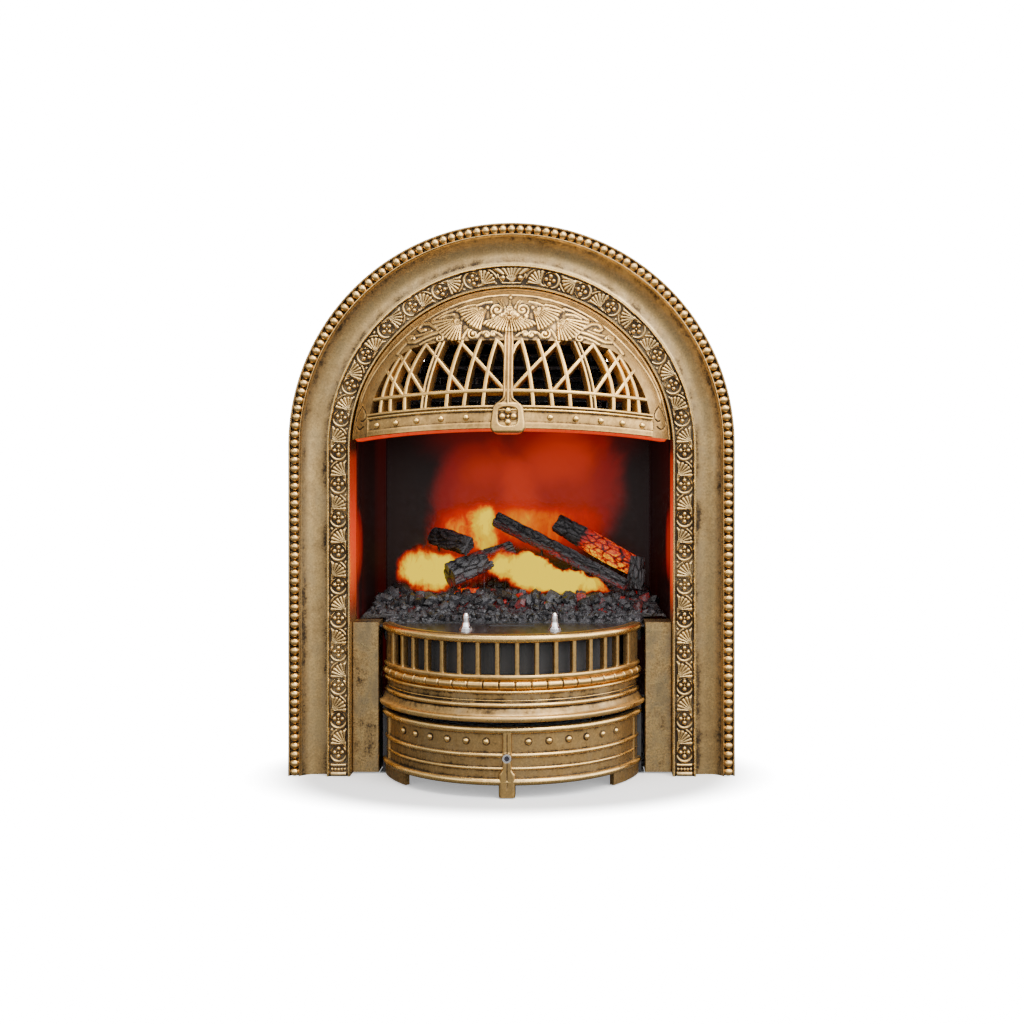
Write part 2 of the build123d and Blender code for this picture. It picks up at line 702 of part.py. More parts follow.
# Shelf under the fuel bed, bowed at the front to carry the grate and the ledge
with BuildPart() as fuel_shelf:
    with BuildSketch(Plane.XY.offset(shelf_z)):
        with Locations((0, bow_y)):
            RegularPolygon(145.2, 36)
        with Locations((0, 200 + cheek_face)):
            Rectangle(400, 400, mode=Mode.SUBTRACT)
        with Locations((0, 5)):
            Rectangle(2 * cheek_inner - 1.6, 34.0)
        with Locations((0, 106.5)):
            Rectangle(2 * chassis_half - 2.8, 170)
        with Locations((0, 89)):
            Rectangle(2 * duct_half + gap, duct_back - duct_front + gap, mode=Mode.SUBTRACT)
    extrude(amount=sheet)
    for side in (-1, 1):
        with Locations((side * (chassis_half - 2), 106.5, shelf_z - 9)):
            Box(sheet, 170, 20)
write(fuel_shelf, "fuel_shelf")

# Firebox: glossy liner of three walls, and the plate that closes it above
with BuildPart() as firebox_liner:
    with BuildSketch(Plane.XY.offset(shelf_z + 2 * sheet)):
        with BuildLine():
            Polyline((-184.2, 21.0), (-168.4, 160.0), (168.4, 160.0), (184.2, 21.0))
        trace(line_width=sheet)
    extrude(amount=ceiling_z - shelf_z - 2 * sheet - 0.3)
write(firebox_liner, "firebox_liner")

with BuildPart() as firebox_ceiling:
    with BuildSketch(Plane.XY.offset(ceiling_z)):
        with BuildLine():
            Polyline(
                (-176.0, 4.0), (176.0, 4.0), (181.0, 20.0), (181.0, 22.0), (188.6, 22.0),
                (188.6, 192.5), (-188.6, 192.5), (-188.6, 22.0), (-181.0, 22.0), (-181.0, 20.0),
                close=True,
            )
        make_face()
    extrude(amount=sheet)
write(firebox_ceiling, "firebox_ceiling")

# Fan heater: scroll housing, drum rotor, motor and element
rotor_y, rotor_z = 120.0, 461.0
rotor_radius = 32.0
scroll_half = 110.0
scroll = [(26.0, 415.0)] + flats_of_arc((122.0, 459.0), (46.0, 46.0), -90, 90, 7) + [(100.0, 505.0)]
throat = [(26.0, 474.0), (76.0, 480.0), (84.0, 492.0)]
with BuildPart() as blower_housing:
    with BuildSketch(Plane.YZ.offset(-scroll_half)):
        for wall in (scroll, throat):
            with BuildLine():
                Polyline(*wall)
            trace(line_width=sheet)
    extrude(amount=2 * scroll_half)
    for x in (-scroll_half - sheet, scroll_half):
        with BuildSketch(Plane.YZ.offset(x)):
            with BuildLine():
                Polyline(*scroll, *reversed(throat), close=True)
            make_face()
            with Locations((rotor_y, rotor_z)):
                RegularPolygon(8, 12, mode=Mode.SUBTRACT)
        extrude(amount=sheet)
    for x in (-90, 90):
        with Locations((x, 80, 409.7)):
            Box(14, 60, 8)
write(blower_housing, "blower_housing")

with BuildPart() as blower_rotor:
    drum = Plane(origin=(-scroll_half + 6, rotor_y, rotor_z), x_dir=(0, 1, 0), z_dir=(1, 0, 0))
    drum_length = 2 * scroll_half - 12
    with BuildSketch(drum, drum.offset(drum_length - 2)):
        RegularPolygon(rotor_radius, 12)
    extrude(amount=2)
    with BuildSketch(drum):
        with PolarLocations(rotor_radius - 4.5, 10):
            Rectangle(1, 8, rotation=32)
    extrude(amount=drum_length)
    with BuildSketch(drum.offset(-10)):
        RegularPolygon(3, 8)
    extrude(amount=drum_length + 34)
write(blower_rotor, "blower_rotor")

with BuildPart() as blower_motor:
    with BuildSketch(Plane.YZ.offset(scroll_half + sheet + 5)):
        with Locations((rotor_y, rotor_z)):
            RegularPolygon(27, 16)
    extrude(amount=36)
    chamfer(blower_motor.faces().sort_by(Axis.X)[-1].edges(), 2)
    with Locations((scroll_half + 24, rotor_y, 420.2)):
        Box(30, 36, 29.6)
    with BuildSketch(Plane.YZ.offset(scroll_half)):
        with Locations((rotor_y, rotor_z)):
            RegularPolygon(6, 8)
    extrude(amount=30, mode=Mode.SUBTRACT)
write(blower_motor, "blower_motor")

with BuildPart() as heater_element:
    for z in (424.0, 443.0, 462.0):
        with Locations((0, 44, z)):
            Box(204, 14, 4)
    with Locations((0, 44, 443)):
        with GridLocations(22, 0, 9, 1):
            Box(1, 12, 36)
    for x in (-103, 103):
        with Locations((x, 44, 443)):
            Box(3, 18, 46)
write(heater_element, "heater_element")

# Outer casing: folded sides and top with front flanges, back panel and base pan
fixing_heights = (100.0, 340.0)
with BuildPart() as outer_casing:
    with BuildSketch(Plane.XZ.offset(-1.0)):
        with BuildLine():
            Polyline(
                (-chassis_half - 0.6, 1.8), (-chassis_half - 0.6, chassis_top - 0.6),
                (chassis_half + 0.6, chassis_top - 0.6), (chassis_half + 0.6, 1.8),
            )
        trace(line_width=sheet)
    extrude(amount=-(chassis_depth - 1.0))
    for side in (-1, 1):
        with Locations((side * 198.2, -0.6, 200)):
            Box(16.4, sheet, 360)
        with Locations((side * (chassis_half + 0.6), 0.4, 200)):
            Box(sheet, 3.2, 360)
    with BuildSketch(Plane.XZ.offset(4)):
        with Locations(*[(s * boss_x, z) for s in (-1, 1) for z in fixing_heights]):
            Circle(2.75)
        with Locations(*[(s * boss_x, z) for s in (-1, 1) for z in boss_heights[:2]]):
            RegularPolygon(2.6, 6)
    extrude(amount=-8, mode=Mode.SUBTRACT)
    # the top stops short of the surround's return
    with Locations((0, return_depth / 2, chassis_top)):
        Box(200, return_depth + 1.2, 12, mode=Mode.SUBTRACT)
write(outer_casing, "outer_casing")

gland_x, gland_z = -150.0, 50.0
with BuildPart() as back_panel:
    with Locations((0, chassis_depth - 0.8, 1.8 + (chassis_top - 3.4) / 2)):
        Box(2 * chassis_half - 0.8, 1.6, chassis_top - 3.4)
    with BuildSketch(Plane.XZ.offset(-chassis_depth + 10)):
        for rows, z in ((4, 470.0), (2, 120.0)):
            with Locations((0, z)):
                with GridLocations(140, 14, 2, rows):
                    Rectangle(120, 5)
        with Locations((gland_x, gland_z)):
            Circle(8.2)
    extrude(amount=-20, mode=Mode.SUBTRACT)
write(back_panel, "back_panel")

with BuildPart() as base_pan:
    with BuildSketch(Plane.XY):
        with Locations((0, 107.5)):
            Rectangle(2 * chassis_half - 0.8, 171)
        with Locations((0, 6)):
            Rectangle(2 * cheek_inner - 2, 34)
    extrude(amount=1.5)
    with Locations((0, chassis_depth - 4, 8)):
        Box(2 * chassis_half - 8, 1.2, 14)
write(base_pan, "base_pan")

# Supply inlet: a gland with a clear bore through the back panel
with BuildPart() as cable_gland:
    with BuildSketch(Plane.XZ.offset(-chassis_depth - 8)):
        with Locations((gland_x, gland_z)):
            RegularPolygon(12.5, 6)
    extrude(amount=7.8)
    with BuildSketch(Plane.XZ.offset(-chassis_depth - 16)):
        with Locations((gland_x, gland_z)):
            RegularPolygon(8, 12)
    extrude(amount=34)
    with BuildSketch(Plane.XZ.offset(-chassis_depth + 1.8)):
        with Locations((gland_x, gland_z)):
            RegularPolygon(12.5, 6)
    extrude(amount=5)
    with BuildSketch(Plane.XZ.offset(-chassis_depth - 20)):
        with Locations((gland_x, gland_z)):
            Circle(4)
    extrude(amount=50, mode=Mode.SUBTRACT)
write(cable_gland, "cable_gland")

# Electrics in the drawer bay
with BuildPart() as control_board:
    with Locations((-150, 96, 9.2)):
        Box(70, 110, 1.6)
    with Locations((-150, 96, 5.0)):
        with GridLocations(60, 100, 2, 2):
            Box(6, 6, 7.0)
    for x, y, wide, deep, tall in (
        (-170, 66, 20, 16, 17), (-146, 66, 20, 16, 17), (-166, 98, 28, 24, 22),
        (-132, 104, 18, 30, 12), (-150, 138, 50, 8, 10),
    ):
        with Locations((x, y, 10 + tall / 2)):
            Box(wide, deep, tall)
    with BuildSketch(Plane.XY.offset(10)):
        with Locations((-128, 76), (-128, 134)):
            RegularPolygon(6, 10)
    extrude(amount=20)
write(control_board, "control_board")

with BuildPart() as transformer:
    with Locations((148, 96, 30)):
        Box(44, 58, 50)
        Box(64, 36, 30)
    with Locations((148, 96, 3.4)):
        Box(44, 80, 3.2)
write(transformer, "transformer")

# Small fan that pushes the mist, with a round bore for its rotor
fan_z = 36.0
fan_plane = Plane(origin=(0, 176, fan_z), x_dir=(1, 0, 0), z_dir=(0, -1, 0))
with BuildPart() as mist_fan_frame:
    with BuildSketch(fan_plane):
        Rectangle(64, 64)
        RegularPolygon(28.6, 24, mode=Mode.SUBTRACT)
    extrude(amount=18)
    with BuildSketch(fan_plane):
        RegularPolygon(11, 12)
        Rectangle(58, 3, rotation=45)
        Rectangle(58, 3, rotation=-45)
    extrude(amount=2.5)
    with Locations((0, 168, 3)):
        Box(80, 16, 2.6)
write(mist_fan_frame, "mist_fan_frame")

with BuildPart() as mist_fan_rotor:
    with BuildSketch(fan_plane.offset(3.4)):
        RegularPolygon(11, 12)
    extrude(amount=13)
    with Locations(fan_plane.offset(9.9).location):
        with PolarLocations(18, 7):
            Box(16, 13, 1.2, rotation=(38, 0, 0))
write(mist_fan_rotor, "mist_fan_rotor")

# Control panels beside the drawer, reached with the drawer pulled out
rocker_z = 52.0
rocker_xs = {"rocker_power": 110.0, "rocker_heat_low": 121.5, "rocker_heat_high": 133.0}
dial_x = -122.0
panel_y = -11.0
for side, name in ((-1, "control_panel_left"), (1, "control_panel_right")):
    with BuildPart() as control_panel:
        with Locations((side * 127.5, panel_y + 0.75, 41.2)):
            Box(44, 1.5, 78.8)
        with Locations((side * 127.5, panel_y + 8, 2.6)):
            Box(44, 16, 1.6)
        with BuildSketch(Plane.XZ.offset(20)):
            if side > 0:
                with Locations(*[(x, rocker_z) for x in rocker_xs.values()]):
                    Rectangle(9.6, 21)
            else:
                with Locations((dial_x, rocker_z)):
                    RegularPolygon(4, 10)
        extrude(amount=-20, mode=Mode.SUBTRACT)
    write(control_panel, name)

for name, x in rocker_xs.items():
    with BuildPart() as rocker:
        with BuildSketch(Plane(origin=(x - 4.3, panel_y, rocker_z), x_dir=(0, 1, 0), z_dir=(1, 0, 0))):
            with BuildLine():
                Polyline(
                    (-1.6, 9.6), (-3.4, 0), (-3.6, -9.2), (3.0, -9.3), (7.6, -6.0), (7.6, 6.0),
                    (3.0, 9.3), close=True,
                )
            make_face()
        extrude(amount=8.6)
    write(rocker, name)

with BuildPart() as flame_dial:
    with BuildSketch(Plane(origin=(dial_x, panel_y - 0.4, rocker_z), x_dir=(1, 0, 0), z_dir=(0, -1, 0))):
        RegularPolygon(11, 16)
    extrude(amount=7)
    with Locations((dial_x, panel_y - 7.9, rocker_z + 5)):
        Box(1.6, 1.4, 9)
    with BuildSketch(Plane.XZ.offset(12)):
        with Locations((dial_x, rocker_z)):
            RegularPolygon(3, 8)
    extrude(amount=-12)
write(flame_dial, "flame_dial")
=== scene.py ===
import json
import math

import bmesh
import bpy
import numpy as np
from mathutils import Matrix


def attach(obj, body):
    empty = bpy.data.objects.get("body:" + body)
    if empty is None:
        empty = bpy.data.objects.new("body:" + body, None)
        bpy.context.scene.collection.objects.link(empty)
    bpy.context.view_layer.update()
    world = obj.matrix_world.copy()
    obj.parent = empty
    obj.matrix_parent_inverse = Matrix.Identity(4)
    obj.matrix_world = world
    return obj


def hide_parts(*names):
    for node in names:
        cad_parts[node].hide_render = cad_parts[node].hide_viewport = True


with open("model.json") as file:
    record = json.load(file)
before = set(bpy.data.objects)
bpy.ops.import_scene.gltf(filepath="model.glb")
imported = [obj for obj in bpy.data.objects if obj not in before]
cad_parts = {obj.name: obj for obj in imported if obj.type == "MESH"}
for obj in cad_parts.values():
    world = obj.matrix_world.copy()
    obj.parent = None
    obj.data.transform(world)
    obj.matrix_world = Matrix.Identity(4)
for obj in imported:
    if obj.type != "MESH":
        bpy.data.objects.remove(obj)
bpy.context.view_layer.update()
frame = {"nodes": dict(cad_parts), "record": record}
print("stage: frame loaded")

milli = 0.001  # the shapes are worked out in millimetres and built in metres

# The sizes that every casting shares, as in the part's source
front = {
    "outerRadius": 257.0, "outerSpring": 379.0, "stripSpring": 376.0, "openingRadius": 185.0,
    "stripOuter": 212.0, "faceY": -28.0, "returnDepth": 20.0, "castWall": 5.0,
    "bowY": 27.0, "bowReach": math.degrees(math.asin(150 / 155)) + 0.8, "bowCut": -13.0, "bowPanel": 149.0,
}


# Mesh helpers

class Shape:
    # Collects grids of points and copies of small forms, then makes them one mesh object.
    def __init__(self):
        self.points, self.quads, self.worn, self.lit, self.count = [], [], [], [], 0

    def add(self, points, quads, worn=0.5, lit=0.0):
        # the wear value says how rubbed the metal is, and on the cove's edges it also carries painted shade;
        # lit says how strongly the fire lights it
        points = np.asarray(points, float).reshape(-1, 3)
        self.points.append(points)
        self.quads.append(np.asarray(quads, int) + self.count)
        self.worn.append(np.broadcast_to(np.asarray(worn, float).ravel(), (len(points),)))
        self.lit.append(np.broadcast_to(np.asarray(lit, float).ravel(), (len(points),)))
        self.count += len(points)

    def grid(self, points, closed=False, worn=0.5, lit=0.0):
        # Each quad joins four neighbours of a (u, v) grid; a closed one joins its last column to its first.
        worn, lit = [np.broadcast_to(value, points.shape[:2]) for value in (worn, lit)]
        self.add(points, gridQuads(*points.shape[:2], closed), worn, lit)

    def tube(self, points, worn=0.5, lit=0.0):
        # A closed ring carried along u, with both ends drawn to their middles.
        worn, lit = [np.broadcast_to(value, points.shape[:2]) for value in (worn, lit)]
        worn, lit = [np.concatenate([value[:1], value, value[-1:]]) for value in (worn, lit)]
        ends = points[:1], points[-1:]
        first, last = [np.broadcast_to(end.mean(1, keepdims=True), end.shape) for end in ends]
        self.grid(np.concatenate([first, points, last]), True, worn, lit)

    def copies(self, points, quads, origins, axes, worn=0.5, lit=0.0):
        # The same small form at many places, each with an origin and three axes; the wear and lit arguments
        # hold a value for each point of the form, or a column with one for each place.
        turned = np.einsum("pi,kij->kpj", points, axes) + origins[:, None, :]
        worn, lit = [np.broadcast_to(value, turned.shape[:2]) for value in (worn, lit)]
        steps = np.arange(len(origins))[:, None, None] * len(points)
        self.add(turned, (quads[None] + steps).reshape(-1, 4), worn, lit)

    def build(self, title, body, paint, sharp=35.0, outward=True, stands=(), slot=None):
        points = np.concatenate(self.points) * milli
        quads = np.concatenate(self.quads)
        mesh = bpy.data.meshes.new(title)
        mesh.vertices.add(len(points))
        mesh.vertices.foreach_set("co", points.astype(np.float32).ravel())
        mesh.loops.add(quads.size)
        mesh.loops.foreach_set("vertex_index", quads.astype(np.int32).ravel())
        mesh.polygons.add(len(quads))
        mesh.polygons.foreach_set("loop_start", np.arange(0, quads.size, 4, dtype=np.int32))
        mesh.update(calc_edges=True)
        for name, values in (("worn", self.worn), ("lit", self.lit)):
            held = mesh.attributes.new(name, "FLOAT", "POINT")
            held.data.foreach_set("value", np.clip(np.concatenate(values), 0, 1).astype(np.float32))
        work = bmesh.new()
        work.from_mesh(mesh)
        bmesh.ops.remove_doubles(work, verts=work.verts, dist=2e-6)
        bmesh.ops.dissolve_degenerate(work, edges=work.edges, dist=1e-7)
        if outward:
            bmesh.ops.recalc_face_normals(work, faces=work.faces)
        work.to_mesh(mesh)
        work.free()
        mesh.shade_smooth()
        mesh.set_sharp_from_angle(angle=math.radians(sharp))
        made = bpy.data.objects.new(title, mesh)
        bpy.context.collection.objects.link(made)
        made.data.materials.append(paint)
        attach(made, body)
        if stands:
            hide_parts(*stands)
            slot = slot or slotOf[stands[0]]


def gridQuads(rows, columns, closed=False):
    index = np.arange(rows * columns).reshape(rows, columns)
    if closed:
        index = np.hstack([index, index[:, :1]])
    return np.stack([index[:-1, :-1], index[1:, :-1], index[1:, 1:], index[:-1, 1:]], -1).reshape(-1, 4)


def withUnder(top, axis, level):
    # Closes an open face into a ring: its two long edges are repeated at one level of an axis.
    under = top[:, [-1, 0]].copy()
    under[..., axis] = level
    return np.concatenate([top, under], 1)


def padded(values, columns, value=0.0):
    # Adds columns of one value, for the hidden back of a ring.
    return np.pad(values, ((0, 0), (0, columns)), constant_values=value)


def unit(vectors):
    return vectors / np.linalg.norm(vectors, axis=-1, keepdims=True)


def smoothStep(value, low, high):
    # 3t^2 - 2t^3 between two limits, flat outside them.
    t = np.clip((value - low) / (high - low), 0, 1)
    return t * t * (3 - 2 * t)


def ridge(distance, halfWidth):
    # Height of a half-round ridge, 1 on its line and 0 at its half width.
    return np.sqrt(np.clip(1 - (distance / halfWidth) ** 2, 0, 1))


def fineLoop(corners, step=1.0, rounding=0.6):
    # Walks a closed outline of (a, b) corners in equal steps and softens its corners by averaging
    # each point with its neighbours.
    corners = np.asarray(corners, float)
    nexts = np.roll(corners, -1, 0)
    lengths = np.hypot(*(nexts - corners).T)
    pieces = []
    for start, end, length in zip(corners, nexts, lengths):
        parts = max(1, int(round(length / step)))
        pieces.append(start + (end - start) * (np.arange(parts) / parts)[:, None])
    loop = np.concatenate(pieces)
    for _ in range(int(round(rounding / step * 2))):
        loop = (np.roll(loop, 1, 0) + 2 * loop + np.roll(loop, -1, 0)) / 4
    return loop


def raised(height, near, halfWidth, rise):
    # Lays a half-round ridge over a relief, within its half width only.
    return np.where(near < halfWidth, np.maximum(height, rise * ridge(near, halfWidth)), height)


def standsOut(height, rounds=24):
    # How far each point of a relief stands over what lies round it: its height less a repeated
    # average with its four neighbours.
    soft = height
    for _ in range(rounds):
        wide = np.pad(soft, 1, mode="edge")
        soft = (wide[:-2, 1:-1] + wide[2:, 1:-1] + wide[1:-1, :-2] + wide[1:-1, 2:] + 4 * soft) / 8
    return height - soft


def strokeDistance(x, z, line):
    # Least distance from each point to a line of straight runs.
    line = np.asarray(line, float)
    least = np.full(np.shape(x), 1e9)
    for (ax, az), (bx, bz) in zip(line[:-1], line[1:]):
        dx, dz = bx - ax, bz - az
        t = np.clip(((x - ax) * dx + (z - az) * dz) / (dx * dx + dz * dz + 1e-12), 0, 1)
        least = np.minimum(least, np.hypot(x - ax - t * dx, z - az - t * dz))
    return least


def carved(x, z, line, halfWidth):
    # Height of a half-round ridge that follows a line of straight runs.
    return ridge(strokeDistance(x, z, line), halfWidth)


def archPlaces(run, radius, spring, midRadius):
    # Runs up the left leg, round the arch and down the right leg; radius is measured from the arch's centre.
    turn = np.clip((run - spring) / midRadius, 0, math.pi)
    rise = np.minimum(run, spring)
    fall = np.minimum(archLength(spring, midRadius) - run, spring)
    height = np.where(run < spring + math.pi * midRadius / 2, rise, fall)
    x = -radius * np.cos(turn)
    z = height + radius * np.sin(turn)
    return x, z


def archRuns(spring, midRadius, legStep, archStep):
    # Runs with coarse steps on the straight legs and finer ones round the arch.
    arc = math.pi * midRadius
    legs = np.linspace(0, spring, max(2, int(spring / legStep)))
    arch = np.linspace(spring, spring + arc, int(arc / archStep))
    return np.concatenate([legs[:-1], arch, 2 * spring + arc - legs[::-1][1:]])


def archLength(spring, midRadius):
    return 2 * spring + math.pi * midRadius


def bowPoints(radius, angle, height):
    # Turns (radius, height) about the bow's upright axis; the ends stop at one plane across the bow.
    furthest = np.arccos(np.clip((front["bowY"] - front["bowCut"]) / radius, -1, 1))
    turn = np.clip(np.radians(angle), -furthest, furthest)
    return np.stack([radius * np.sin(turn), front["bowY"] - radius * np.cos(turn), height + 0 * turn], -1)


def bowRail(shape, loop, angles, worn=0.5):
    # Carries a closed (radius, height) outline round the bow.
    loop = np.asarray(loop, float)
    shape.tube(bowPoints(loop[None, :, 0], angles[:, None], loop[None, :, 1]), worn)


def halfRound(radius, height, size, reach=0.0, back=1.5, steps=10):
    # Outline of a half-round rail: a half circle ahead of a flat back.
    turns = np.linspace(-math.pi / 2, math.pi / 2, steps)
    nose = np.stack([radius + reach + size * np.cos(turns), height + size * np.sin(turns)], -1)
    return np.concatenate([[[radius - back, height - size]], nose, [[radius - back, height + size]]])


def railWorn(loop, low=0.10, high=0.84):
    # Dark where a rail meets what carries it, and rubbed on its nose.
    reach = np.asarray(loop)[:, 0]
    return low + (high - low) * smoothStep((reach - reach.min()) / (reach.max() - reach.min()), 0.30, 0.95)


def addRails(shape, angles, rails, low=0.10, steps=10):
    # Half-round rails round the bow, each given as (radius, height, size) and an optional reach.
    for rail in rails:
        loop = halfRound(*rail, steps=steps)
        bowRail(shape, loop, angles, railWorn(loop, low))


def addFlank(shape, side, start, count, corners, worn, step=3.0, rounding=1.0):
    # A panel on one side of the bow, from a starting angle to the bow's end.
    angles = side * np.linspace(start, front["bowReach"], count)
    bowRail(shape, fineLoop(corners, step, rounding), angles, worn)


def nearRails(height, rails, plain, dark=0.34):
    # A flat band darkens close to each rail, given as (height, half size).
    away = np.min([np.abs(height - middle) - size for middle, size in rails], axis=0)
    return plain - dark * np.exp(-np.clip(away, 0, None) / 1.5)


def roundForm(profile, sides):
    # Turned form about its own axis from a (radius, height) outline.
    profile = np.asarray(profile, float)
    turns = np.arange(sides) * 2 * math.pi / sides
    x = profile[:, :1] * np.cos(turns)
    y = profile[:, :1] * np.sin(turns)
    z = np.broadcast_to(profile[:, 1:], x.shape)
    return np.stack([x, y, z], -1).reshape(-1, 3), gridQuads(len(profile), sides, True)


def domeForm(foot, radius, base, rise, steps, sides):
    # A rivet's head: a quarter of an ellipse turned round, over a foot given as (radius, height) corners.
    turns = np.linspace(0, math.pi / 2, steps)
    return roundForm([*foot, *zip(radius * np.cos(turns), base + rise * np.sin(turns))], sides)


def axesFrom(outward):
    # Three axes for each outward direction: a level one, its companion, and the direction itself.
    side = unit(np.cross([0.0, 0.0, 1.0], outward))
    return np.stack([side, np.cross(outward, side), outward], 1)


slotOf = {entry["node"]: entry["material_slot"] for entry in frame["record"]["subparts"]}


# Shading helpers

class Signal:
    # Wraps a socket, so that an expression on values adds its Math nodes.
    def __init__(self, paint, socket):
        self.paint, self.socket = paint, socket

    def math(self, operation, first, second=0.0):
        return self.paint.node("Math", {"operation": operation}, {0: first, 1: second})

    def __add__(self, other): return self.math("ADD", self, other)
    def __radd__(self, other): return self.math("ADD", other, self)
    def __sub__(self, other): return self.math("SUBTRACT", self, other)
    def __rsub__(self, other): return self.math("SUBTRACT", other, self)
    def __mul__(self, other): return self.math("MULTIPLY", self, other)
    def __truediv__(self, other): return self.math("DIVIDE", self, other)
    def __pow__(self, other): return self.math("POWER", self, other)

    def ramp(self, low, high, toLow=0.0, toHigh=1.0):
        # Smooth change between two limits.
        return self.paint.node(
            "MapRange", {"interpolation_type": "SMOOTHSTEP", "clamp": True},
            {"Value": self, "From Min": low, "From Max": high, "To Min": toLow, "To Max": toHigh})


class Paint:
    # The node tree of one material or world: node() adds any node, and surface() ends a material's tree.
    def __init__(self, name, kind="materials"):
        self.owner = getattr(bpy.data, kind).new(name)
        self.owner.use_nodes = True
        self.tree = self.owner.node_tree
        self.tree.nodes.clear()

    def node(self, kind, settings=None, values=None, output=0):
        made = self.tree.nodes.new("ShaderNode" + kind)
        for key, value in (settings or {}).items():
            if key == "stops":
                stops = made.color_ramp.elements
                while len(stops) < len(value):
                    stops.new(0.5)
                for stop, (place, colour) in zip(stops, value):
                    stop.position, stop.color = place, (*colour[:3], 1)
            else:
                setattr(made, key, value)
        for key, value in (values or {}).items():
            if isinstance(value, Signal):
                self.tree.links.new(value.socket, made.inputs[key])
            else:
                made.inputs[key].default_value = value
        return Signal(self, made.outputs[output]) if len(made.outputs) else None

    def place(self):
        return self.node("TexCoord", output="Object")

    def axis(self, name):
        # One of the object coordinates, in metres.
        return self.node("SeparateXYZ", None, {"Vector": self.place()}, output=name)

    def attribute(self, name):
        return self.node("Attribute", {"attribute_name": name}, output="Fac")

    def noise(self, scale, detail=4.0, roughness=0.55, stretch=None, distortion=0.0, output=0):
        vector = self.place()
        if stretch:
            vector = self.node("Mapping", None, {"Vector": vector, "Scale": stretch})
        values = {"Scale": scale, "Detail": detail, "Roughness": roughness, "Distortion": distortion}
        return self.node("TexNoise", None, {"Vector": vector, **values}, output)

    def mix(self, share, first, second):
        first, second = [(*c, 1) if isinstance(c, tuple) else c for c in (first, second)]
        return self.node("Mix", {"data_type": "RGBA"}, {0: share, 6: first, 7: second}, output=2)

    def blend(self, level, colour, *steps):
        # Passes from colour to colour as a level rises: each step is (from, to, colour).
        for low, high, after in steps:
            colour = self.mix(level.ramp(low, high), colour, after)
        return colour

    def bump(self, height, strength, distance):
        return self.node("Bump", None, {"Height": height, "Strength": strength, "Distance": distance})

    def surface(self, values, normal=None):
        values = {key: (*value, 1) if isinstance(value, tuple) else value for key, value in values.items()}
        if normal is not None:
            values["Normal"] = normal
        shader = self.node("BsdfPrincipled", None, values)
        self.node("OutputMaterial", None, {"Surface": shader})
        return self.owner


# Finishes

brassLook = {
    "bright": (0.68, 0.455, 0.180), "middle": (0.35, 0.230, 0.098), "dark": (0.032, 0.020, 0.010),
    "grey": (0.25, 0.200, 0.130), "rubbed": (0.98, 0.70, 0.28), "firelight": (0.92, 0.034, 0.003),
    "warmth": (1.0, 0.88, 0.66), "roughBright": 0.27, "roughDark": 0.55, "bumpDistance": 0.00025,
    "mottleScale": 24.0, "speckScale": 420.0, "blotchScale": 58.0, "streakScale": 75.0, "evenWear": 0.52,
}


def brassPaint(name, useWearAndShade=True, tarnish=0.35, darkness=0.0, warm=0.0, mottle=1.0):
    # Antique brass: dark in hollows, gold on plain faces, rubbed pale on edges, with greyish cloudy tarnish.
    paint = Paint(name)
    tone = {key: tuple(c * (1 + (w - 1) * warm) for c, w in zip(brassLook[key], brassLook["warmth"]))
            for key in ("bright", "middle", "dark", "rubbed")}
    cloud = paint.noise(brassLook["mottleScale"], 6.0, 0.66, distortion=0.4)
    streak = paint.noise(brassLook["streakScale"], 5.0, 0.62, stretch=(1.0, 1.0, 0.3))
    speck = paint.noise(brassLook["speckScale"], 3.0, 0.7)
    # the wear attribute also brings in the painted shade on the cove's edges
    worn = paint.attribute("worn") if useWearAndShade else brassLook["evenWear"]
    blotch = paint.noise(brassLook["blotchScale"], 5.0, 0.7, distortion=0.8)
    uneven = (cloud - 0.5) * 0.66 + (streak - 0.5) * 0.42 + (blotch - 0.5) * 0.62 + (speck - 0.5) * 0.50
    level = worn + uneven * mottle - darkness
    gold = paint.blend(
        level, tone["dark"], (0.08, 0.42, tone["middle"]), (0.38, 0.74, tone["bright"]),
        (0.74, 1.0, tone["rubbed"]))
    veil = (cloud + streak * 0.6).ramp(0.70, 0.98, 0.0, tarnish)
    gold = paint.mix(veil, gold, brassLook["grey"])
    rough = level.ramp(0.1, 0.9, brassLook["roughDark"], brassLook["roughBright"]) + (speck - 0.5) * 0.18
    metal = level.ramp(0.05, 0.35, 0.72, 1.0)
    glow = paint.mix(paint.attribute("lit"), (0.0, 0.0, 0.0), brassLook["firelight"])
    dents = speck * 0.5 + cloud * 0.9 + blotch * 0.9
    return paint.surface({
        "Base Color": gold, "Roughness": rough, "Metallic": metal, "Emission Color": glow,
        "Emission Strength": 1.0,
    }, paint.bump(dents, 0.5, brassLook["bumpDistance"] * mottle))


def sheetPaint(name, colour, rough, metallic, scale=30.0, grain=0.15, coat=0.0, stretch=None):
    # Plain sheet or moulding: a colour that drifts a little, with fine grain in its gloss.
    paint = Paint(name)
    drift = paint.noise(scale, 4.0, 0.6, stretch=stretch)
    fine = paint.noise(900.0, 2.0, 0.6, stretch=stretch)
    tone = (drift - 0.5) * grain + (fine - 0.5) * grain * 0.5 + 0.5
    darker, lighter = tuple(c * 0.72 for c in colour), tuple(min(1.0, c * 1.25) for c in colour)
    base = paint.mix(tone.ramp(0.3, 0.7), darker, lighter)
    roughness = tone * 0.5 + (rough - 0.25)
    return paint.surface(
        {"Base Color": base, "Roughness": roughness, "Metallic": metallic, "Coat Weight": coat},
        paint.bump(fine, 0.25, 0.00008))


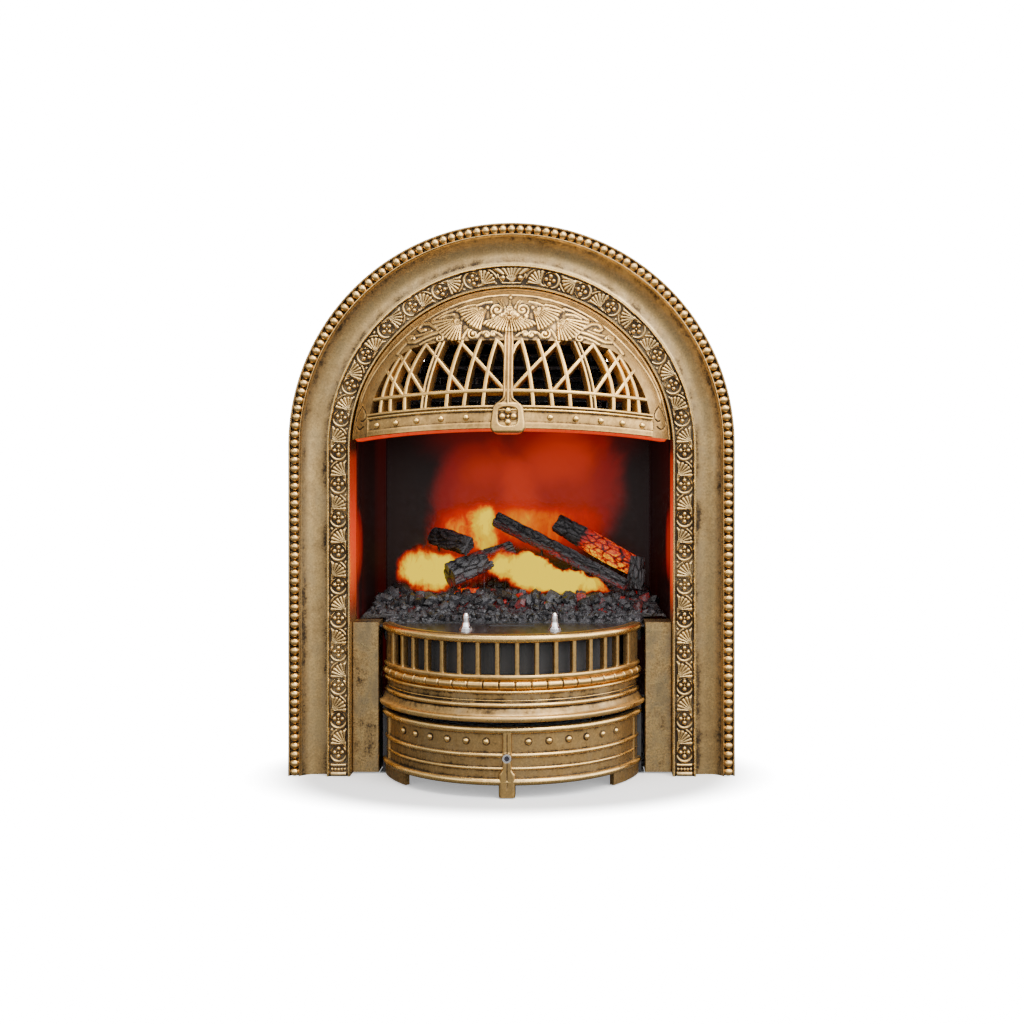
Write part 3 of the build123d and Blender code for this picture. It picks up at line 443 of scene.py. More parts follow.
def zincPaint(name):
    # Zinc plated sheet: angular pale spangle over a grey ground.
    paint = Paint(name)
    spangles = paint.node(
        "TexVoronoi", {"feature": "F1"}, {"Vector": paint.place(), "Scale": 95.0}, output="Color")
    spangle = paint.node("SeparateColor", None, {"Color": spangles})
    drift = paint.noise(7.0, 3.0)
    base = paint.mix(spangle * 0.6 + drift * 0.4, (0.30, 0.31, 0.33), (0.62, 0.64, 0.66))
    rough = 0.34 + spangle * 0.16
    return paint.surface({"Base Color": base, "Roughness": rough, "Metallic": 0.9})


paints = {
    "antique_brass": brassPaint("antiqueBrass"),
    "antique_brass_beads": brassPaint("beadBrass", tarnish=0.1, warm=0.6),
    "cheek_brass": brassPaint("cheekBrass", useWearAndShade=False, tarnish=0.7, darkness=-0.02, mottle=2.0),
    "hood_brass": brassPaint("hoodBrass", tarnish=0.12, warm=0.85),
    "grate_brass": brassPaint("grateBrass", tarnish=0.2, warm=0.7),
    "ledge_brass": brassPaint("ledgeBrass", tarnish=0.45, warm=0.7),
    "fret_brass": brassPaint("fretBrass", tarnish=0.35, warm=0.6),
    "chrome": sheetPaint("polishedChrome", (0.86, 0.87, 0.89), 0.3, 1.0, grain=0.05),
    "dark_lens": sheetPaint("darkLens", (0.015, 0.012, 0.02), 0.3, 0.0, coat=1.0),
    "black_sheet": sheetPaint("blackSheet", (0.02, 0.02, 0.021), 0.62, 0.0, grain=0.3),
    "black_gloss": sheetPaint("blackGloss", (0.012, 0.011, 0.011), 0.32, 0.0, coat=0.6, grain=0.12),
    "galvanised_sheet": zincPaint("zincSheet"),
    "bare_aluminium": sheetPaint("bareAluminium", (0.72, 0.73, 0.75), 0.5, 1.0, stretch=(0.1, 1, 1)),
    "lamp_metal": sheetPaint("brushedSteel", (0.5, 0.51, 0.53), 0.5, 1.0, stretch=(0.1, 1, 1)),
    "heater_steel": sheetPaint("heaterSteel", (0.42, 0.36, 0.32), 0.55, 1.0, grain=0.4),
    "transformer_steel": sheetPaint("laminatedSteel", (0.2, 0.2, 0.21), 0.55, 0.9, stretch=(1, 60, 1)),
    "clear_plastic": sheetPaint("smokedPlastic", (0.33, 0.39, 0.43), 0.35, 0.0, coat=0.3),
    "grey_plastic": sheetPaint("greyPlastic", (0.13, 0.135, 0.14), 0.62, 0.0),
    "black_plastic": sheetPaint("blackPlastic", (0.022, 0.022, 0.023), 0.6, 0.0, grain=0.3),
    "switch_plastic": sheetPaint("switchPlastic", (0.02, 0.02, 0.02), 0.4, 0.0, coat=0.4),
    "circuit_board": sheetPaint("boardLacquer", (0.02, 0.12, 0.05), 0.5, 0.0, scale=140.0, grain=0.6),
}
print("stage: finishes made")


# Surround: mouldings carried up one leg, round the arch and down the other

surround = {
    "archStep": 4.0, "legStep": 12.0, "beadLine": 249.0, "beadCount": 155, "beadRise": 3.6,
    "beadSize": (5.3, 4.85, 5.2), "beadFloor": -20.1, "coveMiddle": (220.5, -42.0), "coveRadius": 28.06,
    "mouldingMiddle": 230.0, "stripMiddle": 198.6, "stripHalf": 9.2, "stripFloor": -23.6,
    "ornamentStep": 0.6, "ornamentColumns": 35,
    "firstRosette": 27.5, "rosettePitch": 38.49, "rosettesPerSide": 17,
}


def mouldingLoop():
    # Rim, bead channel, hollow cove with a rolled lip, and the casting's hollow back, as (radius, y).
    outer, wall = front["outerRadius"], front["castWall"]
    turns = np.radians(np.linspace(38, 114, 26))
    cove = surround["coveMiddle"] + surround["coveRadius"] * np.stack([np.cos(turns), np.sin(turns)], -1)
    lip = [(244.6, -20.4), (244.4, -25.6), (243.3, -26.4)]
    rim = [(outer, 0), (outer, -24.2), (256.5, -25.0), (254.9, -25.0), (254.3, -24.2), (254.1, -20.4)]
    ends = [(207.8, -9.0), (outer - wall, -9.0), (outer - wall, 0)]
    return np.concatenate([fineLoop([*rim, *lip, cove[0]], 0.8, 0.5)[:-1], cove, ends])


def stripLoop():
    # The raised strip's two fillets and its floor, with the return into the opening, as (radius, y).
    wall, face, deep = front["castWall"], front["faceY"], front["returnDepth"]
    inner, outer = front["openingRadius"], front["stripOuter"]
    corners = [
        (inner, deep), (inner, face + 1.1), (inner + 0.7, face), (inner + 2.2, face),
        (inner + 2.9, face + 0.8), (inner + 3.2, face + 3.6), (outer - 3.0, face + 3.6),
        (outer - 2.7, face + 0.8), (outer - 2.1, face), (outer - 0.7, face), (outer, face + 1.0),
        (outer, -1.6), (outer - wall, -1.6), (outer - wall, -20.0), (inner + wall, -20.0),
        (inner + wall, deep),
    ]
    return fineLoop(corners, 1.2, 0.4)


def mouldingWearAndShade(radius, y, edge):
    # Hollows are dark, and what stands forward is rubbed, most of all on edges; the cove's two edges get
    # painted shade.
    depth = smoothStep(-y, 12, 27)
    worn = np.clip(0.5 + 0.16 * depth + 0.45 * edge * depth, 0, 1)
    channel = (radius > 244.0) & (radius < 254.3) & (y > -24.0)
    strip = (radius > 187.6) & (radius < 209.4)
    worn = np.where(radius > 254.3, 0.50, np.where(channel | strip, 0.10, worn))
    # painted shade: the cove is darkened close to the beads and the strip, standing in for the shading of its
    # hollow curve
    coveShadeMask = (radius > 212.2) & (radius < 243.4) & (y < -10)
    return worn - coveShadeMask * (0.42 * smoothStep(radius, 232, 240.5) + 0.26 * smoothStep(-radius, -222, -213.5))


def buildMouldings():
    shape = Shape()
    for loop, spring, middle in (
        (mouldingLoop(), front["outerSpring"], surround["mouldingMiddle"]),
        (stripLoop(), front["stripSpring"], surround["stripMiddle"]),
    ):
        run = archRuns(spring, middle, surround["legStep"], surround["archStep"])
        x, z = archPlaces(run[:, None], loop[None, :, 0], spring, middle)
        y = np.broadcast_to(loop[None, :, 1], x.shape)
        edge = np.clip(np.hypot(*(loop - (np.roll(loop, 2, 0) + np.roll(loop, -2, 0)) / 2).T), 0, 0.8)
        # the fire lights the jambs of the opening, most of all beside the flames
        jamb = (loop[:, 0] < 185.6) & (loop[:, 1] > -27.0) & (loop[:, 1] < 19.0)
        height = z * (run[:, None] < spring) + z * (run[:, None] > spring + math.pi * middle)
        fall = smoothStep(height, 170, 215) * (0.30 + 0.70 * np.exp(-((height - 268) / 62) ** 2))
        shape.tube(np.stack([x, y, z], -1), mouldingWearAndShade(*loop.T, edge), np.where(jamb, fall, 0.0))
    shape.build("surroundCasting", "appliance", paints["antique_brass"], stands=("arch_surround",))


def buildBeads():
    # Balls pressed wider than long, in a row along the channel.
    wide, long, tall = surround["beadSize"]
    line = surround["beadLine"]
    turns = np.linspace(-0.3 * math.pi, math.pi / 2, 7)
    profile = np.stack([np.cos(turns) ** 0.86, np.sin(turns)], -1)
    profile[-1, 0] = 0.0
    points, quads = roundForm(np.concatenate([[[0.0, profile[0, 1]]], profile]), 14)
    points = points * [wide, long, tall]
    count = surround["beadCount"]
    run = (np.arange(count) + 0.5) * archLength(front["outerSpring"], line) / count
    x, z = archPlaces(run, line, front["outerSpring"], line)
    turn = np.clip((run - front["outerSpring"]) / line, 0, math.pi)
    away = np.stack([-np.cos(turn), 0 * turn, np.sin(turn)], -1)
    along = np.stack([-np.sin(turn), 0 * turn, -np.cos(turn)], -1)
    origins = np.stack([x, np.full_like(x, surround["beadFloor"] - surround["beadRise"]), z], -1)
    axes = np.stack([away, along, np.broadcast_to([0.0, -1.0, 0.0], away.shape)], 1)
    height = points[:, 2] / tall
    worn = 0.20 + 0.46 * smoothStep(height, -0.25, 0.3) + 0.12 * smoothStep(height, 0.4, 1)
    shape = Shape()
    shape.copies(points, quads, origins, axes, worn)
    shape.build("beadRow", "appliance", paints["antique_brass_beads"], stands=("pearl_border",), sharp=80)


def rosetteHeight(along, across):
    # One rosette: a crescent ring that is thick below and runs out above, between a circle and a larger
    # one set lower, four balls set crosswise, and a pip.
    fromInner = np.hypot(along + 0.5, across) - 7.95
    fromOuter = 10.3 - np.hypot(along + 2.1, across)
    share = fromInner / np.maximum(fromInner + fromOuter, 0.05)
    ring = 3.1 * ridge(2 * share - 1, 1) * smoothStep(fromInner + fromOuter, 0.1, 1.2)
    height = np.where((fromInner > 0) & (fromOuter > 0), ring, 0.0)
    for a, b in ((4.45, 0), (-4.45, 0), (0, 4.45), (0, -4.45)):
        height = np.maximum(height, 3.7 * ridge(np.hypot(along - a, across - b), 2.72))
    height = np.maximum(height, 3.3 * ridge(np.hypot(along, across), 1.5))
    return np.where(fromOuter > 0, height, -1.0)


def fanHeight(along, across, ribs=6, low=-5.0, high=98.0, reach=16.2, growth=1.4):
    # A palmette: ribs that spread from a point, counted by their turn from the run of the strip,
    # smooth where they meet and cut apart further out, with rounded ends.
    away, turn = np.hypot(along, across), np.degrees(np.arctan2(across, along))
    share = (turn - low) / (high - low)
    within = np.abs((share * ribs % 1) - 0.5) * 2
    rib = np.clip(1 - within ** 2.8, 0, 1) ** 0.55
    valley = 0.4 + 1.9 * (1 - smoothStep(away, 2.5, 7.0))
    edge = reach + growth * np.clip(share, 0, 1) - 1.5 * (1 - rib)
    height = (valley + (3.1 - valley) * rib) * (0.35 + 0.65 * smoothStep(edge - away, 0, 1.5))
    height = np.where((away < edge) & (share > 0) & (share < 1), height, 0.0)
    return np.maximum(height, 2.5 * ridge(away, 3.0))


def cellHeight(along, across):
    # What fills the strip above one rosette: a stem beside it, the palmette, a band over its ends and leaves.
    height = fanHeight(along - 10.0, across + 7.4)
    stem = [(1.0, -8.6), (6.0, -8.4), (11.0, -7.4)]
    height = np.maximum(height, 2.5 * carved(along, across, stem, 1.8))
    away, turn = np.hypot(along - 10.0, across + 7.4), np.degrees(np.arctan2(across + 7.4, along - 10.0))
    band = 2.6 * ridge(away - 18.4, 1.25) * smoothStep(turn, 10, 18) * (1 - smoothStep(turn, 70, 80))
    height = np.maximum(height, band)
    for a, b, size in ((25.6, 8.2, 2.2), (8.4, 7.6, 1.5), (26.0, -8.2, 1.7)):
        height = np.maximum(height, 1.9 * ridge(np.hypot(along - a, across - b), size))
    return height


def ornamentHeight(run, across):
    # Rosettes at an even pitch with palmettes between them, turned outwards and inwards by turns.
    whole = archLength(front["stripSpring"], surround["stripMiddle"])
    half = np.minimum(run, whole - run)
    pitch, first, count = surround["rosettePitch"], surround["firstRosette"], surround["rosettesPerSide"]
    slot = (half - first) / pitch
    cell = np.clip(np.floor(slot), 0, count - 1)
    flip = np.where(cell % 2 == 0, 1.0, -1.0)
    height = np.where(slot > 0, cellHeight(half - first - cell * pitch, across * flip), 0.0)
    # the crown: ribs that rise from a point between two balls
    fromTop = whole / 2 - half
    crown = fanHeight(across + 6.4, fromTop, ribs=7, low=-56.0, high=56.0, reach=27.0, growth=0.0)
    crown = np.maximum(crown, 3.2 * carved(fromTop, across, [(0, -6.6), (18.6, 8.8)], 1.5))
    ball = np.hypot(fromTop - 10.0, across + 2.2)
    crown = np.where(ball < 4.2, 0.0, crown)
    crown = np.maximum(crown, 3.9 * ridge(ball, 3.5))
    bowl = [(15.8, 2.0), (14.6, -4.0), (10.5, -8.2), (0, -8.6)]
    crown = np.maximum(crown, 2.6 * carved(fromTop, across, bowl, 1.5))
    height = np.where(fromTop < 16.2 + 0.6 * across, crown, height)
    nearest = np.clip(np.floor(slot + 0.55), 0, count - 1)
    rosette = rosetteHeight(half - first - nearest * pitch, across)
    height = np.where(rosette > -0.5, rosette, height)
    # foot: a flat roll, a row of small balls and a half round, all turned to the sides
    rounded = 0.72 + 0.28 * ridge(across, 9.8)
    foot = np.maximum(3.9 * ridge(half - 2.6, 2.9), 3.3 * ridge(half - 13.0, 1.7)) * rounded
    pearls = 3.2 * ridge(np.hypot(half - 8.2, (across + 9.25) % 3.7 - 1.85), 2.0) * rounded
    return np.where(half < 15.2, np.maximum(foot, pearls), height)


def buildOrnament():
    middle, spring = surround["stripMiddle"], front["stripSpring"]
    whole = archLength(spring, middle)
    run = np.linspace(0.4, whole - 0.4, int(whole / surround["ornamentStep"]))
    across = np.linspace(-surround["stripHalf"], surround["stripHalf"], surround["ornamentColumns"])
    height = ornamentHeight(*np.meshgrid(run, across, indexing="ij"))
    height[:, [0, -1]] *= 0.5
    x, z = archPlaces(run[:, None], middle + across[None, :], spring, middle)
    top = np.stack([x, surround["stripFloor"] - height, z], -1)
    worn = 0.50 + 0.26 * standsOut(height) - 0.34 * (1 - smoothStep(height, 0.2, 1.3))
    shape = Shape()
    shape.tube(withUnder(top, 1, surround["stripFloor"] + 1.0), padded(worn, 2))
    shape.build("ornamentStrip", "appliance", paints["antique_brass"], slot="antique_brass", sharp=75)


buildMouldings()
buildBeads()
buildOrnament()
print("stage: surround built")


# Bow front: grate, ledge band and drawer fret

bow = {
    "angleStep": 1.2, "barCount": 14, "barPitch": 8.2, "barWidth": 4.9, "barDepth": 8.0,
    "reelAngle": 6.62, "reelStep": 0.22, "studPitch": 8.8, "studHeight": 60.4, "studRadius": 3.6,
    "keyFace": 122.6, "keyRise": 5.2, "keyBack": 119.6, "eyeHeight": 44.0, "eyeRadius": 4.0,
    "eyeSeat": 126.2,
}


def bowAngles(step=bow["angleStep"]):
    return np.linspace(-front["bowReach"], front["bowReach"], int(2 * (front["bowReach"] - 0.8) / step))


def superCircle(wave):
    # Turns a sine or cosine into that of a square with rounded corners.
    return np.sign(wave) * np.abs(wave) ** 0.45


def addUpright(shape, angle, radius, low, high, width, depth, flare=0.0, worn=0.62):
    # Rounded bar that stands on the bow: a rounded box outline carried upwards, wider at its ends.
    heights = np.concatenate([low + np.array([0, 0.5, 1.2, 2.4, 4]), high - np.array([4, 2.4, 1.2, 0.5, 0])])
    near = np.minimum(heights - low, high - heights)
    spread = 1 + flare * np.exp(-near / 0.9)
    turns = np.linspace(0, 2 * math.pi, 20, endpoint=False)
    side = superCircle(np.cos(turns))[None, :] * width / 2 * spread[:, None]
    outward = superCircle(np.sin(turns))[None, :] * depth / 2 + 0 * side
    a = math.radians(angle)
    x = math.sin(a) * (radius + outward) + math.cos(a) * side
    y = front["bowY"] - math.cos(a) * (radius + outward) + math.sin(a) * side
    z = np.broadcast_to(heights[:, None], x.shape)
    shape.tube(np.stack([x, y, z], -1), worn * (0.75 + 0.25 * (outward > depth * 0.3)))


def reelLoop(angles, radius, height, size):
    # A half-round rail cut into reels: its size falls in a narrow groove between two reels.
    inReel = (angles / bow["reelAngle"] + 0.5) % 1
    fromGroove = np.minimum(inReel, 1 - inReel) * bow["reelAngle"]
    shrink = 1 - 0.42 * np.exp(-(fromGroove / 0.26) ** 2) + 0.05 * np.exp(-((fromGroove - 0.75) / 0.3) ** 2)
    turns = np.linspace(-math.pi / 2, math.pi / 2, 12)
    nose = radius + size * np.cos(turns)[None, :] * shrink[:, None]
    rise = height + size * np.sin(turns)[None, :] * (0.5 + 0.5 * shrink[:, None])
    backs = np.full((len(angles), 1), radius - 2.0)
    loopRadius = np.concatenate([backs, nose, backs], 1)
    loopHeight = np.concatenate([backs * 0 + height - size, rise, backs * 0 + height + size], 1)
    worn = 0.15 + 0.6 * smoothStep(shrink, 0.7, 1.0)
    return loopRadius, loopHeight, worn


def buildGrate():
    shape = Shape()
    angles = bowAngles()
    rails = [
        [(143.0, 172.4), (143.0, 176.0), (150.5, 176.0), (150.5, 166.8), (146.0, 166.8), (146.0, 172.4)],
        [(145.4, 112.3), (152.2, 112.3), (152.6, 115.9), (149.4, 116.6), (149.4, 126.8), (152.6, 127.5),
         (153.2, 130.0), (152.4, 132.5), (145.4, 132.5)],
    ]
    for rail in rails:
        bowRail(shape, fineLoop(rail, 1.0, 0.5), angles, 0.62)
    addRails(shape, angles, ((150.6, 171.4, 4.6), (150.9, 114.1, 1.9, 0.6)), 0.22)
    fine = bowAngles(bow["reelStep"])
    radius, height, worn = reelLoop(fine, 150.4, 121.6, 4.2)
    shape.tube(bowPoints(radius, fine[:, None], height), worn[:, None] + 0 * radius)
    for i in range(bow["barCount"]):
        angle = (i - (bow["barCount"] - 1) / 2) * bow["barPitch"]
        addUpright(shape, angle, 147.8, 131.6, 168.0, bow["barWidth"], bow["barDepth"], 0.35)
    # end blocks: a post beside the last opening, and a plain flank that turns back to the cheek
    for side in (-1, 1):
        addUpright(shape, side * 62.6, 148.4, 131.0, 168.0, 6.2, 7.6, 0.15)
        addFlank(shape, side, 63.5, 8, [(143.6, 113), (150.4, 113), (150.4, 171), (143.6, 171)], 0.30)
    shape.build("grateCasting", "appliance", paints["grate_brass"], stands=("grate",), sharp=50)


def buildLedge():
    shape = Shape()
    angles = bowAngles()
    corners = [
        (146.0, 82.5), (156.8, 82.5), (158.0, 83.2), (158.4, 84.6), (158.4, 87.0), (157.7, 88.2),
        (156.2, 88.8), (154.6, 90.0), (153.2, 92.4), (152.4, 94.4), (151.4, 96.2), (149.2, 96.8),
        (149.0, 111.9), (146.0, 111.9),
    ]
    loop = fineLoop(corners, 0.8, 0.5)
    radius, height = loop.T
    band = nearRails(height, ((99.6, 2.7), (104.6, 0.8), (112.4, 0.5)), 0.44)
    worn = np.where(height > 97, band, 0.36 + 0.42 * smoothStep(radius, 153, 158.4) * (height > 83))
    worn = worn - 0.22 * np.exp(-((height - 96.4) / 1.1) ** 2)
    bowRail(shape, loop, angles, np.broadcast_to(worn, (len(angles), len(loop))))
    addRails(shape, angles, ((149.8, 99.6, 2.7), (149.0, 104.6, 0.7, 0.1)))
    shape.build("ledgeCasting", "appliance", paints["ledge_brass"], stands=("ledge_band",), sharp=50)


def buildFret():
    shape = Shape()
    angles = bowAngles()
    band = fineLoop([(146.0, 13.8), (148.8, 13.8), (148.8, 76.2), (146.0, 76.2)], 0.8, 0.4)
    rails = (
        (150.0, 73.3, 3.9, 1.3), (149.4, 45.9, 2.5, 0.3), (149.1, 31.4, 1.8, 0.2), (150.0, 17.6, 3.9, 1.0),
    )
    bowRail(shape, band, angles, nearRails(band[:, 1], [rail[1:3] for rail in rails], 0.46))
    addRails(shape, angles, rails, steps=12)
    for side in (-1, 1):
        addUpright(shape, side * 69.0, 148.6, 16.0, 75.0, 3.4, 5.4, 0.1, 0.7)
        addFlank(shape, side, 70.0, 7, [(146, 14), (150.2, 14), (150.2, 75), (146, 75)], 0.28)
        foot = [(146.2, 1.0), (151.6, 1.0), (151.9, 14.6), (146.2, 14.6)]
        addFlank(shape, side, 50.0, 16, foot, 0.42, 2.0, 0.5)
    # studs: low domes on thin washers along the upper band
    radius = bow["studRadius"]
    washer = [(0.0, -0.6), (radius + 0.9, -0.6), (radius + 0.8, 0.25), (radius + 0.05, 0.35)]
    points, quads = domeForm(washer, radius, 0.0, 3.1, 7, 20)
    places = np.radians([side * i * bow["studPitch"] for side in (-1, 1) for i in range(1, 7)])
    outward = np.stack([np.sin(places), -np.cos(places), 0 * places], -1)
    origins = np.array([0, front["bowY"], bow["studHeight"]]) + outward * front["bowPanel"]
    shape.copies(points, quads, origins, axesFrom(outward), 0.15 + 0.8 * smoothStep(points[:, 2], 0.3, 2.6))
    addKey(shape)
    shape.build("fretCasting", "drawer", paints["fret_brass"], stands=("drawer_fret",), sharp=50)


def addKey(shape):
    # Middle key: half width as a function of height, flat faced with rounded edges and a fine groove.
    spans = ((1.0, 24.5, 14), (25.2, 31.5, 8), (33, 76.0, 20))
    heights = np.concatenate([np.linspace(*span) for span in spans])
    half = 5.1 + 3.9 * (1 - smoothStep(heights, 24.8, 31.5)) - 0.5 * smoothStep(-heights, -3.0, -1.0)
    across = np.linspace(-1, 1, 25)
    x = half[:, None] * across[None, :]
    crown = 1 - np.clip((np.abs(across) - 0.72) / 0.28, 0, 1) ** 2 * 0.45
    groove = 0.7 * np.exp(-(x / 0.55) ** 2) * smoothStep(heights, 9, 13)[:, None]
    groove = groove * (1 - smoothStep(heights, 68, 70))[:, None]
    face = -(bow["keyFace"] + bow["keyRise"] * crown[None, :] - groove)
    # a flat seat under the receiver's ring
    underEye = np.hypot(x, heights[:, None] - bow["eyeHeight"]) < bow["eyeRadius"]
    face = np.where(underEye, -bow["eyeSeat"], face)
    top = np.stack([x, face, np.broadcast_to(heights[:, None], x.shape)], -1)
    shape.tube(withUnder(top, 1, -bow["keyBack"]), padded(np.clip(0.66 - 1.1 * groove, 0, 1), 2, 0.3))


buildGrate()
buildLedge()
buildFret()
print("stage: bow front built")


# Hood: a domed casting with a carved crown, a pierced lattice and a riveted band

hood = {
    "radius": 184.6, "bulge": 95.0, "backY": -14.0, "wall": 9.0, "ribWidth": 4.4, "mainRibWidth": 7.4,
    "recess": 1.0, "crownSteps": 720, "crownRows": 82, "rivetRadius": 3.5, "sideY": 2.0,
}
hoodRibs = [
    ((-145.5, 415.0), (-136.0, 457.0), (-124.5, 478.5)), ((-133.0, 416.0), (-126.7, 459.0), (-111.5, 487.5)),
    ((-115.8, 417.5), (-109.0, 464.0), (-93.0, 494.0)), ((-94.0, 419.0), (-88.3, 456.0), (-74.5, 496.0)),
    ((-68.4, 421.0), (-62.2, 465.0), (-52.0, 497.0)), ((-48.7, 422.0), (-41.5, 466.0), (-31.8, 497.5)),
    ((-27.6, 422.5), (-21.5, 468.0), (-13.6, 497.5)),
]
hoodDiagonals = [
    ((-140.4, 465.1), (-117.0, 433.0)), ((-126.2, 484.3), (-92.5, 434.0)),
    ((-97.2, 497.0), (-46.0, 436.0)), ((-57.0, 498.0), (-1.0, 438.0)),
]
# Edge of the pierced part on the left side, from the foot to the middle
crownEdge = [
    (-158.2, 389.2), (-158.0, 413.0), (-154.0, 430.0), (-149.0, 443.0), (-143.5, 454.0),
    (-132.5, 472.0), (-122.0, 482.0), (-111.0, 488.5), (-95.0, 492.0), (-80.0, 494.5), (-58.0, 496.0),
    (-30.0, 496.5), (0.0, 496.5),
]
# Carved lines of the right half: half width, height and points
crownStrokes = [
    (2.5, 1.9, [
        (74, 506), (84, 505.5), (95, 501), (104, 496), (112, 494.5), (116.5, 498.5), (114.5, 503),
        (110, 502)]),
    (1.5, 1.4, [(72, 501), (84, 500), (94, 496), (100, 492.5)]),
    (2.2, 2.0, [(83, 511), (91, 516.5), (99, 516.5), (104, 512), (101, 507.8), (95.5, 509.5)]),
    (1.5, 1.2, [(88, 508), (97, 504.5), (106, 503)]), (2.0, 1.3, [(116, 496), (123, 489), (127, 483)]),
    (1.4, 1.5, [(21, 541.5), (30, 540), (38, 536.5)]), (1.4, 1.5, [(39, 538), (48, 536.8), (60, 531.5)]),
    (1.4, 1.4, [(60, 534), (70, 531), (80, 525.8), (88, 521)]),
    (1.2, 1.3, [(33, 533.8), (41, 534.8), (47, 533)]),
    (1.3, 1.3, [(63, 527), (72, 526.5), (80, 522.5)]), (1.1, 1.3, [(11, 543.5), (8.0, 540), (5.6, 534)]),
    (1.0, 1.2, [(14, 543), (11, 539.5), (8.4, 534)]), (2.4, 2.2, [(18.9, 524.2), (18.7, 522.8)]),
    (1.6, 1.5, [(19.6, 520.4), (22.5, 517.6)]), (1.5, 1.5, [(46, 508.5), (50, 503), (52, 498.5)]),
    (1.6, 1.7, [(28, 506), (33, 503.5), (36, 499)]), (1.3, 1.5, [(60, 493.5), (66, 492.8), (72, 495)]),
    (1.3, 1.4, [(8, 501), (12, 504), (17, 505)]),
]
# Scrolls: middle, outer radius, turn where they start, turns made and sense
crownScrolls = [
    ((14.2, 531.2), 7.4, 290, 1.5, 1), ((39.7, 502.8), 5.8, 60, 1.35, -1), ((24.8, 502.0), 4.2, 20, 1.2, 1),
    ((17.6, 502.8), 3.6, 160, 1.2, -1), ((78.0, 499.0), 5.0, 100, 1.3, 1),
    ((110.8, 500.2), 3.4, 200, 1.1, -1),
]
# Fans: point where the ribs meet, the angles they span from straight down, reach, ribs, growth of the reach,
# and how far from that point the ribs begin
crownFans = [
    ((0.0, 547.0), -2.7, 43.0, 41.0, 9, 3.0, 9.0), ((25.4, 534.6), 12.0, 84.0, 27.5, 9, 4.5, 0.5),
    ((52.8, 521.2), 1.0, 88.0, 27.5, 10, 8.5, 0.5),
]


def domeAt(x, z, lift=0.0):
    # The hood's face behind a point of the front view, raised along its own direction, and that direction.
    x, z, lift = np.broadcast_arrays(*[np.asarray(v, float) for v in (x, z, lift)])
    rise = z - front["stripSpring"]
    reach = np.sqrt(np.clip(1 - (x ** 2 + rise ** 2) / hood["radius"] ** 2, 0, 1))
    face = np.stack([x, hood["backY"] - hood["bulge"] * reach, z], -1)
    outward = np.stack([x / hood["radius"] ** 2, -reach / hood["bulge"], rise / hood["radius"] ** 2], -1)
    outward = unit(outward)
    return face + outward * lift[..., None], outward


def lowEdge(x):
    return 398.6 - 12.6 * np.abs(x / 185) ** 2.1


def evenLine(points, count):
    # Points at even steps along a line of straight runs.
    points = np.asarray(points, float)
    walked = np.concatenate([[0], np.cumsum(np.hypot(*np.diff(points, axis=0).T))])
    steps = np.linspace(0, walked[-1], count)
    return np.stack([np.interp(steps, walked, points[:, i]) for i in (0, 1)], -1)


def bendLine(points, count):
    # A parabola through three points, so that a rib curves evenly.
    (ax, az), (bx, bz), (cx, cz) = points
    t = np.linspace(0, 1, count)
    m = (bz - az) / (cz - az)
    x = ax + (cx - ax) * t + (bx - ax - (cx - ax) * m) * t * (1 - t) / (m * (1 - m))
    return np.stack([x, az + (cz - az) * t], -1)


def spiralLine(middle, reach, start, turns, sense):
    t = np.linspace(0, 1, 30)
    angle = np.radians(start) + sense * t * turns * 2 * math.pi
    away = reach * (1 - 0.86 * t)
    return np.stack([middle[0] + away * np.cos(angle), middle[1] + away * np.sin(angle)], -1)


